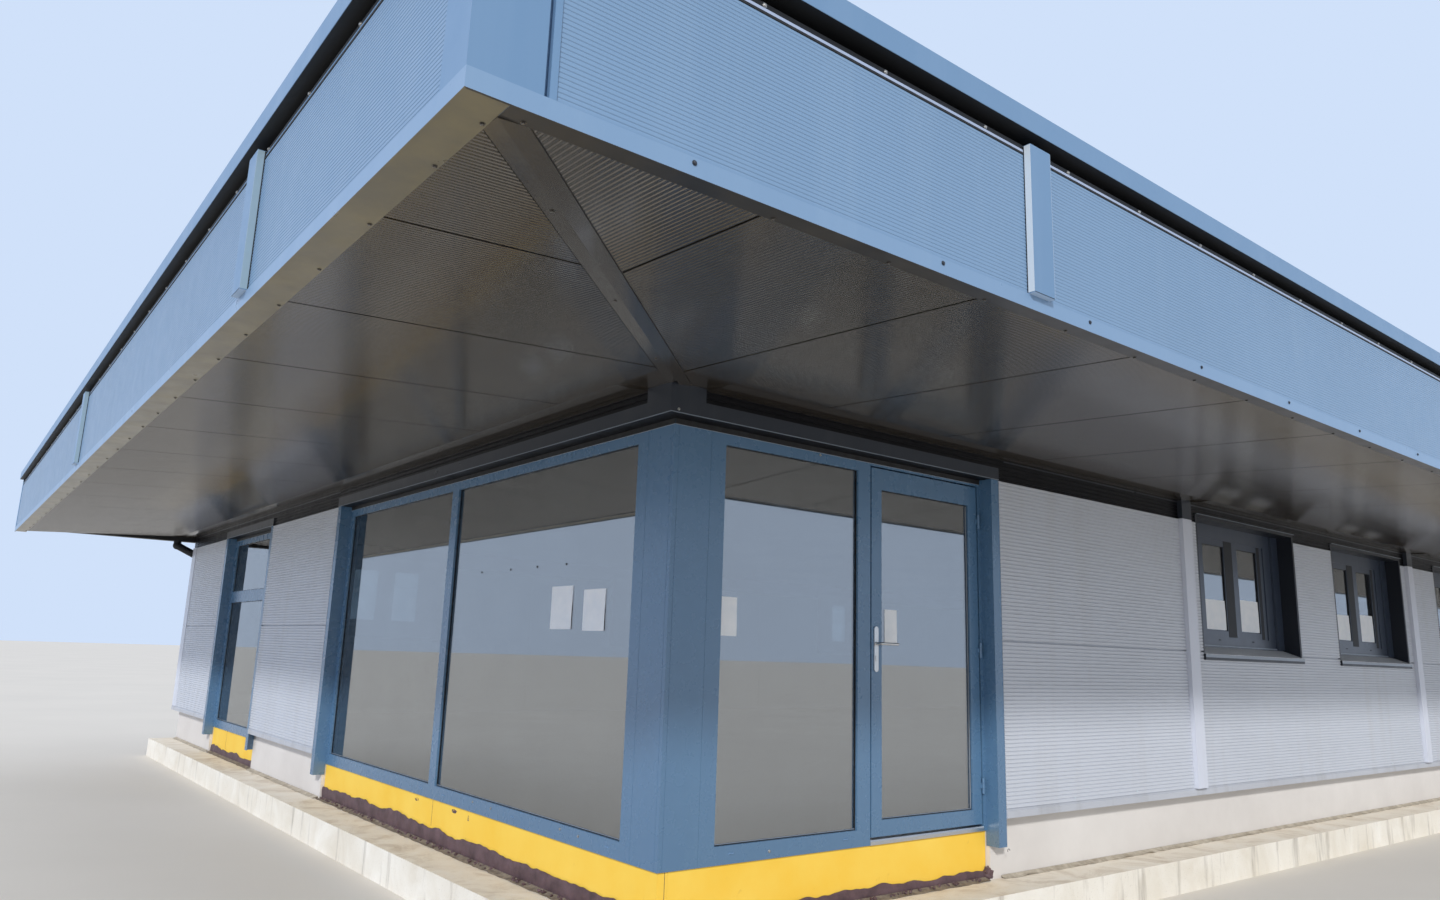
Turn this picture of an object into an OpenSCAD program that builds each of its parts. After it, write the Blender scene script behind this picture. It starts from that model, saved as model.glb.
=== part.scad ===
// Single-storey supermarket building, panel clad, with a glazed corner and a deep canopy.
// Millimetres, +Z up. The origin is on the ground under the middle of the building.
// The front faces -Y and carries the entrance door.

/* [Building] */
// Distance between the grid lines of the front
bay = 5000; // [4800:20:5600]
// Number of bays along the front
bay_count = 4; // [3:1:6]
// Depth from the front frames to the back cladding
depth = 11280; // [10600:20:13000]
// Top of the coping above the ground
total_h = 3558; // [3520:2:3800]

/* [Floor and base] */
// Top of the concrete footing
footing_top = 220; // [150:5:300]
// How far the footing stands out from the frames
ledge_out = 330; // [150:10:500]
// Top of the floor slab
floor_top = 530; // [480:5:560]
// Thickness of the rendered plinth and the insulation boards
skirt_t = 90; // [60:5:120]
// Top of the plinth, where the cladding starts
plinth_top = 600; // [570:5:640]

/* [Walls] */
// Thickness of the clad walls
wall_t = 200; // [160:5:260]
// How far the cladding stands proud of the glazed frames
panel_proud = 92.5; // [60:0.5:130]
// Height of the horizontal joint between the two cladding panels
joint_z = 1694; // [1300:2:1900]
// Top of the pale cladding
panel_top = 2755; // [2700:1:2800]
// Width of the covers over the grid lines
cover_w = 150; // [100:5:200]
// How far the covers stand proud of the cladding
cover_proud = 40; // [20:1:60]
// Width of the corner flashings
corner_w = 200; // [120:5:300]

/* [Glazed corner] */
// Width of the corner post cover on the front
post_w = 300; // [200:5:400]
// Depth of the glazed frames
frame_d = 70; // [60:1:90]
// Width of a frame rail beside the glass
rail_w = 90; // [60:1:110]
// Left edge of the post beside the door
door_post_x = 1370; // [1200:5:1500]
// Width of the post beside the door
door_post_w = 105; // [80:1:140]
// Width of the door leaf
leaf_w = 1012; // [900:1:1100]
// Gap round the door leaf
leaf_gap = 10; // [8:0.5:14]
// Width of the mullion of the left glazing
mullion_w = 108; // [90:1:260]
// Face width of the dark jamb flashings
jamb_w = 80; // [50:2:110]

/* [Door] */
// Thickness of the door leaf
leaf_t = 64; // [50:1:66]
// Width of the door stiles
stile_w = 88; // [70:1:110]
// Height of the top rail of the door
top_rail_h = 130; // [90:5:180]
// Height of the bottom rail of the door
bottom_rail_h = 90; // [80:5:200]
// Height of the lever above the floor slab
lever_h = 1110; // [950:5:1150]
// Reach of the lever
lever_l = 135; // [100:1:160]
// Radius of the hinge knuckles
knuckle_r = 9; // [7:0.5:11]

/* [Windows] */
// Width of a casement window between the cladding
window_w = 1870; // [1400:10:2000]
// Distance from a cover to the nearest window of the bay with two windows
window_gap = 127; // [60:1:200]
// Underside of the casement windows
window_bottom = 1640; // [1500:10:1700]
// Top of all the windows
window_top = 2830; // [2800:1:2850]
// How far the window frames sit behind the cladding
reveal = 150; // [100:5:165]
// Depth of a casement frame
casement_d = 70; // [50:2:100]
// Width of a window frame jamb
casement_jamb = 270; // [150:5:300]
// Width of a sash stile
sash_w = 128; // [60:2:150]
// Width of the tall window of the left wall
tall_window_w = 1936; // [1600:2:2100]
// Height of the transom of the tall window
transom_z = 1975; // [1600:5:2200]
// Thickness of the glass units
glass_t = 28; // [20:1:40]

/* [Canopy] */
// How far the canopy stands out from the glazed frames
overhang = 2159; // [1600:1:2600]
// Underside of the fascia
fascia_bottom = 2798; // [2760:2:2820]
// Thickness of the coping
coping_h = 88; // [60:2:120]
// Thickness of the fascia panels
fascia_t = 60; // [40:2:90]
// Height of the open joint under the coping
coping_gap = 70; // [30:5:75]
// Underside of the soffit at its outer edge
soffit_low = 2805; // [2800:1:2830]
// Underside of the soffit where it meets the wall
soffit_high = 2915; // [2880:1:2940]
// Thickness of the soffit panels
soffit_t = 40; // [30:1:55]
// Spacing of the joints between the soffit panels
soffit_pitch = 1010; // [800:10:1100]
// Width of the open joints between the panels
joint_w = 10; // [6:1:16]
// Width of the trim along the hips
hip_w = 120; // [90:1:160]
// Width of the posts on the fascia
fascia_post_w = 125; // [100:5:220]
// How far the fascia posts stand proud
fascia_post_proud = 25; // [15:1:50]
// Width of the smooth plates at the fascia corners
corner_plate_w = 200; // [120:5:300]
// Width of the flashing under the front fascia
front_drip_w = 80; // [65:1:100]
// Width of the flashing under the side fascias
side_drip_w = 122; // [101:1:145]
// Height of the smooth strip at the foot of the fascia
drip_h = 55; // [30:1:80]

/* [Roof] */
// Underside of the roof deck
deck_bottom = 3000; // [2990:1:3020]
// Part of the height under the coping that the deck fills at the back
deck_low_part = 0.26; // [0.2:0.01:0.4]
// Part of the height under the coping that the deck fills at the front
deck_high_part = 0.72; // [0.5:0.01:0.85]
// Thickness of the upstand behind the fascia
upstand_t = 50; // [30:5:80]
// Width of the gutter
gutter_w = 120; // [100:5:200]
// Radius of the downpipes
pipe_r = 48; // [30:1:55]

/* [Hidden] */
$fn = 48;

anthracite = [0.25, 0.30, 0.37];
pale_metal = [0.72, 0.74, 0.76];
concrete = [0.72, 0.70, 0.66];
render_coat = [0.80, 0.77, 0.73];
clear_glass = [0.55, 0.68, 0.75];
black_sheet = [0.11, 0.11, 0.12];
bare_metal = [0.76, 0.76, 0.77];

// Overall lengths and the middle of the whole outline
cover_half = cover_w / 2;
grid_start = 90;
length = bay_count * bay + 2 * grid_start;
back_frame = depth - panel_proud;
skin_t = 8;
coping_out = fascia_post_proud + 13;
canopy_skin = overhang + coping_out;
roof_back = depth + 12;
canopy_end = roof_back + gutter_w;
centre_x = length / 2;
centre_y = (canopy_end + skin_t - canopy_skin) / 2;

// Heights worked out from the levels above
frame_bottom = floor_top - 20;
frame_top = panel_top;
leaf_bottom = floor_top + 22;
leaf_top = frame_top - 55;
coping_bottom = total_h - coping_h;
fascia_top = coping_bottom - coping_gap;
fascia_low = fascia_bottom + drip_h;
inner_plane = wall_t - panel_proud;
skirt_face = 20;
slab_edge = skirt_t - skirt_face;

// Places along the front
opening_x = door_post_x + door_post_w;
leaf_x = opening_x + leaf_gap;
hinge_gap = leaf_gap + 3;
hinge_x = leaf_x + leaf_w + hinge_gap / 2;
jamb_x = hinge_x + hinge_gap / 2;
return_x = jamb_x + 25;
first_panel_x = return_x + jamb_w;

// Places along the left side
post_d = post_w - 5;
tall_window_y = 7350;
corner_window_end = bay + 30;
far_rail_w = 75;
mullion_y = 2687;

// Small sizes: panel joints, folded sheet, the joint between runs that meet at a corner,
// and the clearance of a hinge pin or of sheets that lie on a slope
joint_depth = 12;
sheet_t = 6;
hair = 1;
fit = 0.05;
eps = 0.5;

function grid(i) = grid_start + i * bay;
function bay_left(i) = grid(i) + cover_half;

module place() translate([-centre_x, -centre_y, 0]) children();

// The walls are drawn as the front is, with X along the wall and Y inwards from the frames
module on_front() place() children();
module on_left() place() mirror([1, -1, 0]) children();
module on_right() place() translate([length, 0, 0]) mirror([1, 0, 0]) mirror([1, -1, 0]) children();
module on_back() place() translate([0, back_frame, 0]) mirror([0, 1, 0]) children();

// A box from its two corners
module span(x0, x1, y0, y1, z0, z1)
    translate([x0, y0, z0]) cube([x1 - x0, y1 - y0, z1 - z0]);

// An outline in Y and Z, drawn out along X
module run(x0, x1)
    translate([x0, 0, 0]) rotate([90, 0, 90]) linear_extrude(x1 - x0) children();

// A rectangular frame: jambs at the sides, rails below and above
module ring(x0, x1, z0, z1, y0, d, side, low, high)
    difference() {
        span(x0, x1, y0, y0 + d, z0, z1);
        span(x0 + side, x1 - side, y0 - eps, y0 + d + eps, z0 + low, z1 - high);
    }

// Concrete footing with the ledge that shows round three sides
module footing() color(concrete) place()
    span(-ledge_out, length + ledge_out, -ledge_out, depth + 10, 0, footing_top);

module floor_slab() color(concrete) place()
    span(slab_edge, length - slab_edge, slab_edge, back_frame - slab_edge,
         footing_top, floor_top);

// Yellow boards that close the slab edge under the glazed fronts
board_face = 10;
module board(x0, x1)
    span(x0, x1, board_face, slab_edge, footing_top, frame_bottom);

module insulation_boards() color([0.95, 0.75, 0.25]) {
    on_front() board(slab_edge + hair, return_x);
    on_left() {
        board(board_face, corner_window_end);
        board(tall_window_y, tall_window_y + tall_window_w);
    }
}

module plinth(x0, x1)
    span(x0, x1, -skirt_face, slab_edge, footing_top, plinth_top);

module plinths() color(render_coat) {
    on_front() plinth(return_x + sheet_t, length + skirt_face);
    on_left() {
        plinth(corner_window_end + sheet_t, tall_window_y - sheet_t);
        plinth(tall_window_y + tall_window_w + sheet_t, back_frame - slab_edge - hair);
    }
    on_right() plinth(slab_edge + hair, back_frame - slab_edge - hair);
    on_back() plinth(-skirt_face, length + skirt_face);
}

// Hollow corner post, with the thin fold lines of its cover
post_wall = 16;
fold_w = 4;
fold_d = 3;
module corner_post() color(anthracite) place() difference() {
    span(0, post_w, 0, post_d, frame_bottom, frame_top);
    span(post_wall, post_w - post_wall, post_wall, post_d - post_wall,
         floor_top + post_wall, frame_top - post_wall);
    span(slab_edge, post_w + eps, slab_edge, post_d + eps, frame_bottom - eps, floor_top);
    for (s = [24, post_w - 60]) {
        span(s, s + fold_w, -eps, fold_d, frame_bottom - eps, frame_top + eps);
        span(-eps, fold_d, s, s + fold_w, frame_bottom - eps, frame_top + eps);
    }
}

// Fixed light beside the door, and the stop that the leaf closes on
stop_d = 15;
stop_over = 12;
threshold_out = 4;
threshold_top = floor_top + 8;
module entrance_frame() color(anthracite) on_front() {
    difference() {
        span(post_w, opening_x, 0, frame_d, frame_bottom, frame_top);
        entrance_opening(eps);
    }
    span(opening_x - stop_d, leaf_x + stop_over, frame_d, frame_d + stop_d,
         leaf_bottom + stop_over, leaf_top - stop_over);
}

module entrance_opening(over, y = 0, d = frame_d)
    span(post_w + rail_w / 2, door_post_x, y - over, y + d + over,
         frame_bottom + rail_w, frame_top - rail_w);

// Head over the door, with its stop
module door_head() color(anthracite) on_front() {
    span(opening_x, return_x, 0, frame_d, leaf_top + leaf_gap, frame_top);
    span(opening_x, return_x, frame_d, frame_d + stop_d, leaf_top - stop_over, frame_top);
}

// Hinge jamb and its stop, with the fixed knuckles and the hinge pins
hinge_y = -knuckle_r - 1;
hinge_z = [leaf_bottom + 230, (leaf_bottom + leaf_top) / 2, leaf_top - 230];
knuckle_h = 32;
pin_r = 5;
hinge_plate_w = 20;
hinge_plate_back = 4;
module door_jamb() color(anthracite) on_front() {
    span(jamb_x, return_x, 0, frame_d, frame_bottom, leaf_top + leaf_gap);
    span(jamb_x - hinge_gap - stop_over, return_x, frame_d, frame_d + stop_d,
         leaf_bottom + stop_over, leaf_top - stop_over);
    for (z = hinge_z) {
        translate([hinge_x, hinge_y, z]) cylinder(r = pin_r, h = 2 * knuckle_h, center = true);
        for (side = [-1, 1]) {
            translate([hinge_x, hinge_y, z + side * knuckle_h])
                cylinder(r = knuckle_r, h = knuckle_h - 1, center = true);
            span(hinge_x, jamb_x + hinge_plate_w, hinge_y + hinge_plate_back, 0,
                 z + (side - 0.5) * knuckle_h + 0.5, z + (side + 0.5) * knuckle_h - 0.5);
        }
    }
}

module door_threshold() color(bare_metal) on_front()
    run(opening_x, jamb_x)
        polygon([[-threshold_out, frame_bottom], [-threshold_out, floor_top],
                 [0, threshold_top], [frame_d, threshold_top], [frame_d, leaf_bottom + stop_over],
                 [frame_d + stop_d, leaf_bottom + stop_over], [frame_d + stop_d, floor_top],
                 [frame_d, floor_top], [frame_d, frame_bottom]]);

// On the left: two large panes at the corner, and a tall window with a transom
transom_h = 130;
module left_window_frames() color(anthracite) on_left() difference() {
    union() {
        span(post_d, corner_window_end, 0, frame_d, frame_bottom, frame_top);
        span(tall_window_y, tall_window_y + tall_window_w, 0, frame_d, frame_bottom, frame_top);
    }
    corner_openings(eps);
    tall_openings(eps);
}

module corner_openings(over, y = 0, d = frame_d) {
    z0 = frame_bottom + rail_w;
    z1 = frame_top - rail_w;
    span(post_d + rail_w / 2, mullion_y, y - over, y + d + over, z0, z1);
    span(mullion_y + mullion_w, corner_window_end - far_rail_w, y - over, y + d + over, z0, z1);
}

module tall_openings(over, y = 0, d = frame_d) {
    x0 = tall_window_y + rail_w;
    x1 = tall_window_y + tall_window_w - rail_w;
    span(x0, x1, y - over, y + d + over, frame_bottom + rail_w, transom_z);
    span(x0, x1, y - over, y + d + over, transom_z + transom_h, frame_top - rail_w);
}

// All the fixed panes, each filling its opening
module fixed_glass() color(clear_glass) {
    y = (frame_d - glass_t) / 2;
    on_front() entrance_opening(0, y, glass_t);
    on_left() {
        corner_openings(0, y, glass_t);
        tall_openings(0, y, glass_t);
    }
    at_casements() sash_openings(0, window_y + sash_set + (sash_d - glass_t) / 2, glass_t);
}

// Folded jambs between the frames and the cladding, which hang below the frames
jamb_foot = frame_bottom - 90;
module jamb_flashing(x, side) {
    x1 = side > 0 ? x : x - sheet_t;
    f0 = side > 0 ? x : x - jamb_w;
    span(x1, x1 + sheet_t, -panel_proud - sheet_t, 0, jamb_foot, panel_top);
    span(x1, x1 + sheet_t, -eps, frame_d, plinth_top, panel_top);
    span(f0, f0 + jamb_w, -panel_proud - sheet_t, -panel_proud, jamb_foot, panel_top);
}

module jamb_flashings() color(anthracite) {
    on_front() jamb_flashing(return_x, 1);
    on_left() {
        jamb_flashing(corner_window_end, 1);
        jamb_flashing(tall_window_y, -1);
        jamb_flashing(tall_window_y + tall_window_w, 1);
    }
}

// Smooth flashing over the glazing, with a short cover round the corner of the ribbed
// band, and dark covers on the band at the grid lines
head_t = 10;
head_h = 83;
box_w = 120;
module head_flashing(x0, x1)
    span(x0, x1, -panel_proud - head_t, -panel_proud, panel_top + 2, panel_top + head_h);

module head_corner(x1) {
    head_flashing(-panel_proud - head_t, x1);
    span(-panel_proud - head_t, box_w, -panel_proud - head_t, -panel_proud,
         panel_top + head_h - eps, soffit_high - hair);
}

module head_cover(i)
    span(grid(i) - cover_half, grid(i) + cover_half, -panel_proud - cover_proud, -panel_proud,
         panel_top + 2, soffit_z(-panel_proud - cover_proud) - hair);

module head_flashings() color(anthracite) {
    on_front() head_corner(first_panel_x);
    on_front() for (i = [1:bay_count - 1]) head_cover(i);
    on_left() {
        head_corner(corner_window_end + jamb_w);
        head_flashing(tall_window_y - jamb_w, tall_window_y + tall_window_w + jamb_w);
    }
}

// A stretch of clad wall with the joint between its two panels, and its foot on the slab
module clad_wall(x0, x1) {
    difference() {
        span(x0, x1, -panel_proud, inner_plane, plinth_top, panel_top);
        span(x0 - eps, x1 + eps, -panel_proud - eps, joint_depth - panel_proud,
             joint_z - joint_w / 2, joint_z + joint_w / 2);
    }
    span(max(x0, slab_edge), min(x1, length - slab_edge), slab_edge, inner_plane,
         floor_top, plinth_top);
}

module window_hole(x)
    span(x, x + window_w, -panel_proud - eps, inner_plane + eps, window_bottom, window_top);

// Left edges of the casements: two in the second bay, one in each further bay
lone_gap = 765;
function bay_right(i) = grid(i + 1) - cover_half;
function bay_windows(i) =
    i == 1 ? [bay_left(1) + window_gap, bay_right(1) - window_gap - window_w]
    : [i % 2 == 0 ? bay_left(i) + lone_gap : bay_right(i) - lone_gap - window_w];
front_windows = [for (i = [1:bay_count - 1]) each bay_windows(i)];

module wall_front() color(pale_metal) on_front() {
    clad_wall(return_x + sheet_t, grid(1) - joint_w / 2);
    for (i = [1:bay_count - 1])
        difference() {
            clad_wall(grid(i) + joint_w / 2,
                      i == bay_count - 1 ? length + panel_proud : grid(i + 1) - joint_w / 2);
            for (x = bay_windows(i)) window_hole(x);
        }
}

module wall_left() color(pale_metal) on_left() {
    clad_wall(corner_window_end + sheet_t, tall_window_y - sheet_t);
    clad_wall(tall_window_y + tall_window_w + sheet_t, back_frame - inner_plane);
}

// The right and back walls repeat the casements
side_gap = 2600;
side_windows = [side_gap, back_frame - side_gap - window_w];
back_windows = [for (i = [0:bay_count - 1]) grid(i) + (bay - window_w) / 2];

module wall_right() color(pale_metal) on_right() difference() {
    clad_wall(inner_plane, back_frame - inner_plane);
    for (x = side_windows) window_hole(x);
}

module wall_back() color(pale_metal) on_back()
    for (i = [0:bay_count - 1])
        difference() {
            clad_wall(i == 0 ? -panel_proud : grid(i) + joint_w / 2,
                      i == bay_count - 1 ? length + panel_proud : grid(i + 1) - joint_w / 2);
            window_hole(back_windows[i]);
        }

// Folded flashing at the foot of the cladding
base_h = 43;
base_out = 14;
module base_flashing(x0, x1)
    run(x0, x1) polygon([[-panel_proud, plinth_top - 10], [-panel_proud, plinth_top + base_h],
                         [-panel_proud - 3, plinth_top + base_h],
                         [-panel_proud - base_out, plinth_top + base_h - 12],
                         [-panel_proud - base_out, plinth_top - 10]]);

module base_flashings() color(pale_metal) {
    corner = panel_proud + base_out;
    on_front() base_flashing(first_panel_x, length + corner);
    on_left() {
        base_flashing(corner_window_end + jamb_w, tall_window_y - jamb_w);
        base_flashing(tall_window_y + tall_window_w + jamb_w, depth - hair);
    }
    on_right() base_flashing(hair - panel_proud, depth - hair);
    on_back() base_flashing(-corner, length + corner);
}

// Covers over the panel joints at the grid lines
cover_foot = plinth_top + base_h;
module grid_cover(i)
    span(grid(i) - cover_half, grid(i) + cover_half, -panel_proud - cover_proud, -panel_proud,
         cover_foot, panel_top);

module grid_covers() color(pale_metal) {
    on_front() for (i = [1:bay_count - 1]) grid_cover(i);
    on_back() for (i = [1:bay_count - 1]) grid_cover(i);
}

// Angles over the other three corners of the cladding
module corner_flashing(x)
    translate([x, -panel_proud, cover_foot]) difference() {
        translate([-corner_w, -12, 0]) cube([corner_w + 12, corner_w + 12, panel_top - cover_foot]);
        translate([-corner_w - eps, 0, -eps])
            cube([corner_w + eps, corner_w + 12 + eps, panel_top]);
    }

module corner_flashings() color(pale_metal) {
    on_front() corner_flashing(length + panel_proud);
    on_back() corner_flashing(length + panel_proud);
    on_back() translate([length, 0, 0]) mirror([1, 0, 0]) corner_flashing(length + panel_proud);
}

// Dark ribbed band between the cladding and the soffit
rib_pitch = 30;
rib_d = 8;
module head_outline() {
    ribs = floor((soffit_high - panel_top) / rib_pitch);
    difference() {
        translate([-panel_proud, panel_top]) square([wall_t, deck_bottom - panel_top]);
        for (k = [0:ribs - 1])
            translate([-panel_proud - eps, panel_top + k * rib_pitch + 8])
                square([rib_d + eps, rib_pitch / 2]);
    }
}

module wall_heads() color(anthracite) {
    on_front() difference() {
        run(-panel_proud, length + panel_proud) head_outline();
        for (x = front_windows) window_hole(x);
    }
    on_left() run(inner_plane + hair, back_frame - inner_plane - hair) head_outline();
    on_right() difference() {
        run(inner_plane + hair, back_frame - inner_plane - hair) head_outline();
        for (x = side_windows) window_hole(x);
    }
    on_back() difference() {
        run(-panel_proud, length + panel_proud) head_outline();
        for (x = back_windows) window_hole(x);
    }
}

// Every casement stands in a dark lining with a narrow lip and a sloping sill
module at_casements() {
    on_front() for (x = front_windows) translate([x, 0, 0]) children();
    on_right() for (x = side_windows) translate([x, 0, 0]) children();
    on_back() for (x = back_windows) translate([x, 0, 0]) children();
}

lip_w = 28;
lip_out = 5;
head_drip_out = 22;
head_drip_t = 5;
sill_out = 25;
sill_h = 100;
window_y = reveal - panel_proud;

module window_surround() {
    difference() {
        span(0, window_w, -panel_proud - lip_out, window_y, window_bottom + sill_h, window_top);
        span(lip_w, window_w - lip_w, -panel_proud - lip_out - eps, window_y + eps,
             window_bottom + sill_h - eps, window_top - lip_w);
    }
    run(0, window_w)
        polygon([[-panel_proud - sill_out, window_bottom - 12],
                 [-panel_proud - sill_out, window_bottom + 36],
                 [window_y, window_bottom + sill_h],
                 [window_y, window_bottom],
                 [-panel_proud, window_bottom],
                 [-panel_proud, window_bottom - 12]]);
    for (x = [0, window_w - lip_w])
        span(x, x + lip_w, -panel_proud - lip_out, window_y, window_bottom, window_bottom + sill_h);
    span(0, window_w, -panel_proud - head_drip_out, -panel_proud - lip_out + hair,
         window_top - head_drip_t, window_top);
}

module window_surrounds() color(anthracite) at_casements() window_surround();

// Fixed frame with a guide for the shutter at each side
sash_bottom = window_bottom + sill_h + 90;
sash_top = window_top - lip_w - 117;
sash_x = lip_w + casement_jamb;
guide_w = 130;
guide_out = 20;

module window_frame() {
    difference() {
        span(0, window_w, window_y, window_y + casement_d, window_bottom, window_top);
        span(sash_x, window_w - sash_x, window_y - eps, window_y + casement_d + eps,
             sash_bottom, sash_top);
    }
    for (x = [lip_w, window_w - lip_w - guide_w])
        span(x, x + guide_w, window_y - guide_out, window_y,
             window_bottom + sill_h + 6, window_top - lip_w);
}

module window_frames() color(anthracite) at_casements() window_frame();

// Two sashes that meet in the middle, each with its own pane
sash_set = 8;
sash_d = casement_d - 2 * sash_set;
sash_rail = 56;
sash_meet = window_w / 2;

module sash_openings(over, y, d) {
    z0 = sash_bottom + sash_rail;
    z1 = sash_top - sash_rail;
    span(sash_x + sash_w, sash_meet - sash_w, y - over, y + d + over, z0, z1);
    span(sash_meet + sash_w, window_w - sash_x - sash_w, y - over, y + d + over, z0, z1);
}

module window_sashes() color(anthracite) at_casements() difference() {
    span(sash_x, window_w - sash_x, window_y + sash_set, window_y + sash_set + sash_d,
         sash_bottom, sash_top);
    sash_openings(eps, window_y + sash_set, sash_d);
    span(sash_meet - 2, sash_meet + 2, window_y + sash_set - eps, window_y + sash_set + 16,
         sash_bottom - eps, sash_top + eps);
}

// The canopy is drawn in the same way, with Y measured inwards from the frames.
// Its outer face stands at -overhang, and its front and side runs meet on the hips.
face = -overhang;
fascia_back = face + fascia_t;
upstand_back = fascia_back + upstand_t;

function soffit_z(y) =
    soffit_low + (soffit_high - soffit_low) * (y - face) / (-panel_proud - face);

// Plan of a front run between two offsets, mitred at both ends
module front_plan(y0, y1, gap = 0)
    polygon([[y0 + gap, y0], [length - y0 - gap, y0], [length - y1 - gap, y1], [y1 + gap, y1]]);

// Plan of a side run, mitred at the front and square at the back
module side_plan(y0, y1, x_end, gap = 0)
    polygon([[y0 + gap, y0], [x_end, y0], [x_end, y1], [y1 + gap, y1]]);

module mitred_front(y0, y1, gap = 0) intersection() {
    run(y0, length - y0) children();
    linear_extrude(total_h + 100) front_plan(y0, y1, gap);
}

module mitred_side(y0, y1, x_end, gap = 0) intersection() {
    run(y0, x_end) children();
    linear_extrude(total_h + 100) side_plan(y0, y1, x_end, gap);
}

module soffit_outline(z_off = 0, t = soffit_t)
    polygon([[fascia_back, soffit_z(fascia_back) + z_off],
             [-panel_proud, soffit_high + z_off],
             [-panel_proud, soffit_high + z_off + t],
             [fascia_back, soffit_z(fascia_back) + z_off + t]]);

// Open joints between the soffit panels, square to the wall
module soffit_joints(x0, x1)
    for (x = [x0 : soffit_pitch : x1])
        run(x - joint_w / 2, x + joint_w / 2) soffit_outline(-eps, joint_depth + eps);

hip_gap = 6;
hip_shift = side_drip_w - front_drip_w;
front_joint = -1200;
side_joint = -1300;
module soffit_front() color(anthracite) on_front() difference() {
    mitred_front(fascia_back, -panel_proud, hip_gap + hip_shift) soffit_outline();
    soffit_joints(front_joint, length - front_joint);
}

// The hip starts where the two flashings under the fascia meet, so the side run is cut off
// in line with the back of the front fascia
module soffit_side() difference() {
    mitred_side(fascia_back, -panel_proud, roof_back, hip_gap - hip_shift) soffit_outline();
    soffit_joints(side_joint, roof_back - joint_w);
    span(face, fascia_back, face, 0, 0, total_h);
}

module soffit_sides() color(anthracite) {
    on_left() soffit_side();
    on_right() soffit_side();
}

// Trim under each hip, folded along its middle: each half hangs lowest on the hip
hip_ridge_t = 10;
hip_edge_t = 3;
hip_half_w = hip_w / sqrt(2);
hip_inner = -panel_proud - head_t - hair;
hip_fall = (hip_ridge_t - hip_edge_t) / hip_half_w;
soffit_fall = (soffit_high - soffit_low) / (-panel_proud - face);

// Everything above a plane through the origin with these slopes along X and Y
module above_slopes(along_x, along_y)
    rotate([atan(along_y * cos(atan(along_x))), -atan(along_x), 0])
        translate([face, face, 0]) cube([-4 * face, -4 * face, -face]);

module hip_half(shift, outer) intersection() {
    run(fascia_back, length) soffit_outline(-hip_ridge_t, hip_ridge_t - fit);
    linear_extrude(total_h)
        polygon([[outer + shift, outer], [outer + shift + hip_half_w, outer],
                 [hip_inner + shift + hip_half_w, hip_inner], [hip_inner + shift, hip_inner]]);
    translate([outer + shift, outer, soffit_z(outer) - hip_ridge_t])
        above_slopes(hip_fall, soffit_fall - hip_fall);
}

module hip_trim() {
    hip_half(hip_shift, face + front_drip_w);
    mirror([1, -1, 0]) hip_half(-hip_shift, face + side_drip_w);
}

// Trim in the angle between the wall and the soffit, bevelled along its outer edge
wall_trim_w = 205;
wall_trim_t = 10;
wall_trim_bevel = 75;
module wall_trim(x0, x1) {
    y0 = -panel_proud - wall_trim_w;
    y1 = y0 + wall_trim_bevel;
    run(x0, x1) polygon([[y0, soffit_z(y0) - fit], [y1, soffit_z(y1) - wall_trim_t],
                         [-panel_proud, soffit_high - wall_trim_t],
                         [-panel_proud, soffit_high - fit]]);
}

module hip_trims() color(anthracite) {
    place() hip_trim();
    place() translate([length, 0, 0]) mirror([1, 0, 0]) hip_trim();
    on_front() for (i = [0:bay_count - 1])
        wall_trim(i == 0 ? box_w + hair : bay_left(i) + hair,
                  i == bay_count - 1 ? length - box_w - hair : grid(i + 1) - cover_half - hair);
    on_left() wall_trim(box_w + hair, depth);
    on_right() wall_trim(box_w + hair, depth);
}

// Ribbed fascia panels, one to a bay of the canopy
post_start = 60;
front_post_pitch = (length - 2 * post_start) / bay_count;
side_post_start = -120;
side_post_pitch = 5185;
side_posts = [side_post_start, side_post_start + side_post_pitch];
front_posts = [for (i = [0:bay_count]) post_start + i * front_post_pitch];

module fascia_run(posts, x_end)
    for (i = [0:len(posts)]) {
        x0 = i == 0 ? face + skin_t : posts[i - 1] + joint_w / 2;
        x1 = i == len(posts) ? x_end : posts[i] - joint_w / 2;
        span(x0, x1, face + skin_t, fascia_back, leg_top, fascia_top);
    }

// A groove and a narrow strip beside each corner plate on the front
groove_w = 14;
strip_w = 20;
groove_x = face + corner_plate_w;
module fascia_front() color(anthracite) on_front() difference() {
    fascia_run(front_posts, length - face - skin_t);
    for (x = [groove_x, length - groove_x - groove_w])
        span(x, x + groove_w, face, face + skin_t + joint_depth, fascia_bottom, total_h);
}

module fascia_side() difference() {
    fascia_run(side_posts, canopy_end);
    span(face, fascia_back + hip_gap / 2, face, fascia_back + eps, 0, total_h);
}

module fascia_sides() color(anthracite) {
    on_left() fascia_side();
    on_right() fascia_side();
}

// Posts that cover the panel joints, standing a little above the panels in the dark gap
// under the coping
fascia_post_top = fascia_top + 30;
module fascia_post(x)
    span(x - fascia_post_w / 2, x + fascia_post_w / 2, face - fascia_post_proud,
         face + skin_t, fascia_low, fascia_post_top);

module fascia_posts() color(anthracite) {
    on_front() for (x = front_posts) fascia_post(x);
    on_left() for (x = side_posts) fascia_post(x);
    on_right() for (x = side_posts) fascia_post(x);
}

// Smooth plates round the corners and over the back ends of the fascia
side_plate_w = 155;
end_plate_w = 60;
module fascia_corner() difference() {
    span(face, face + corner_plate_w, face, face + side_plate_w, fascia_low, coping_bottom);
    span(face + skin_t, face + corner_plate_w + eps, face + skin_t, face + side_plate_w + eps,
         fascia_low - eps, coping_bottom + eps);
}

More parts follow.
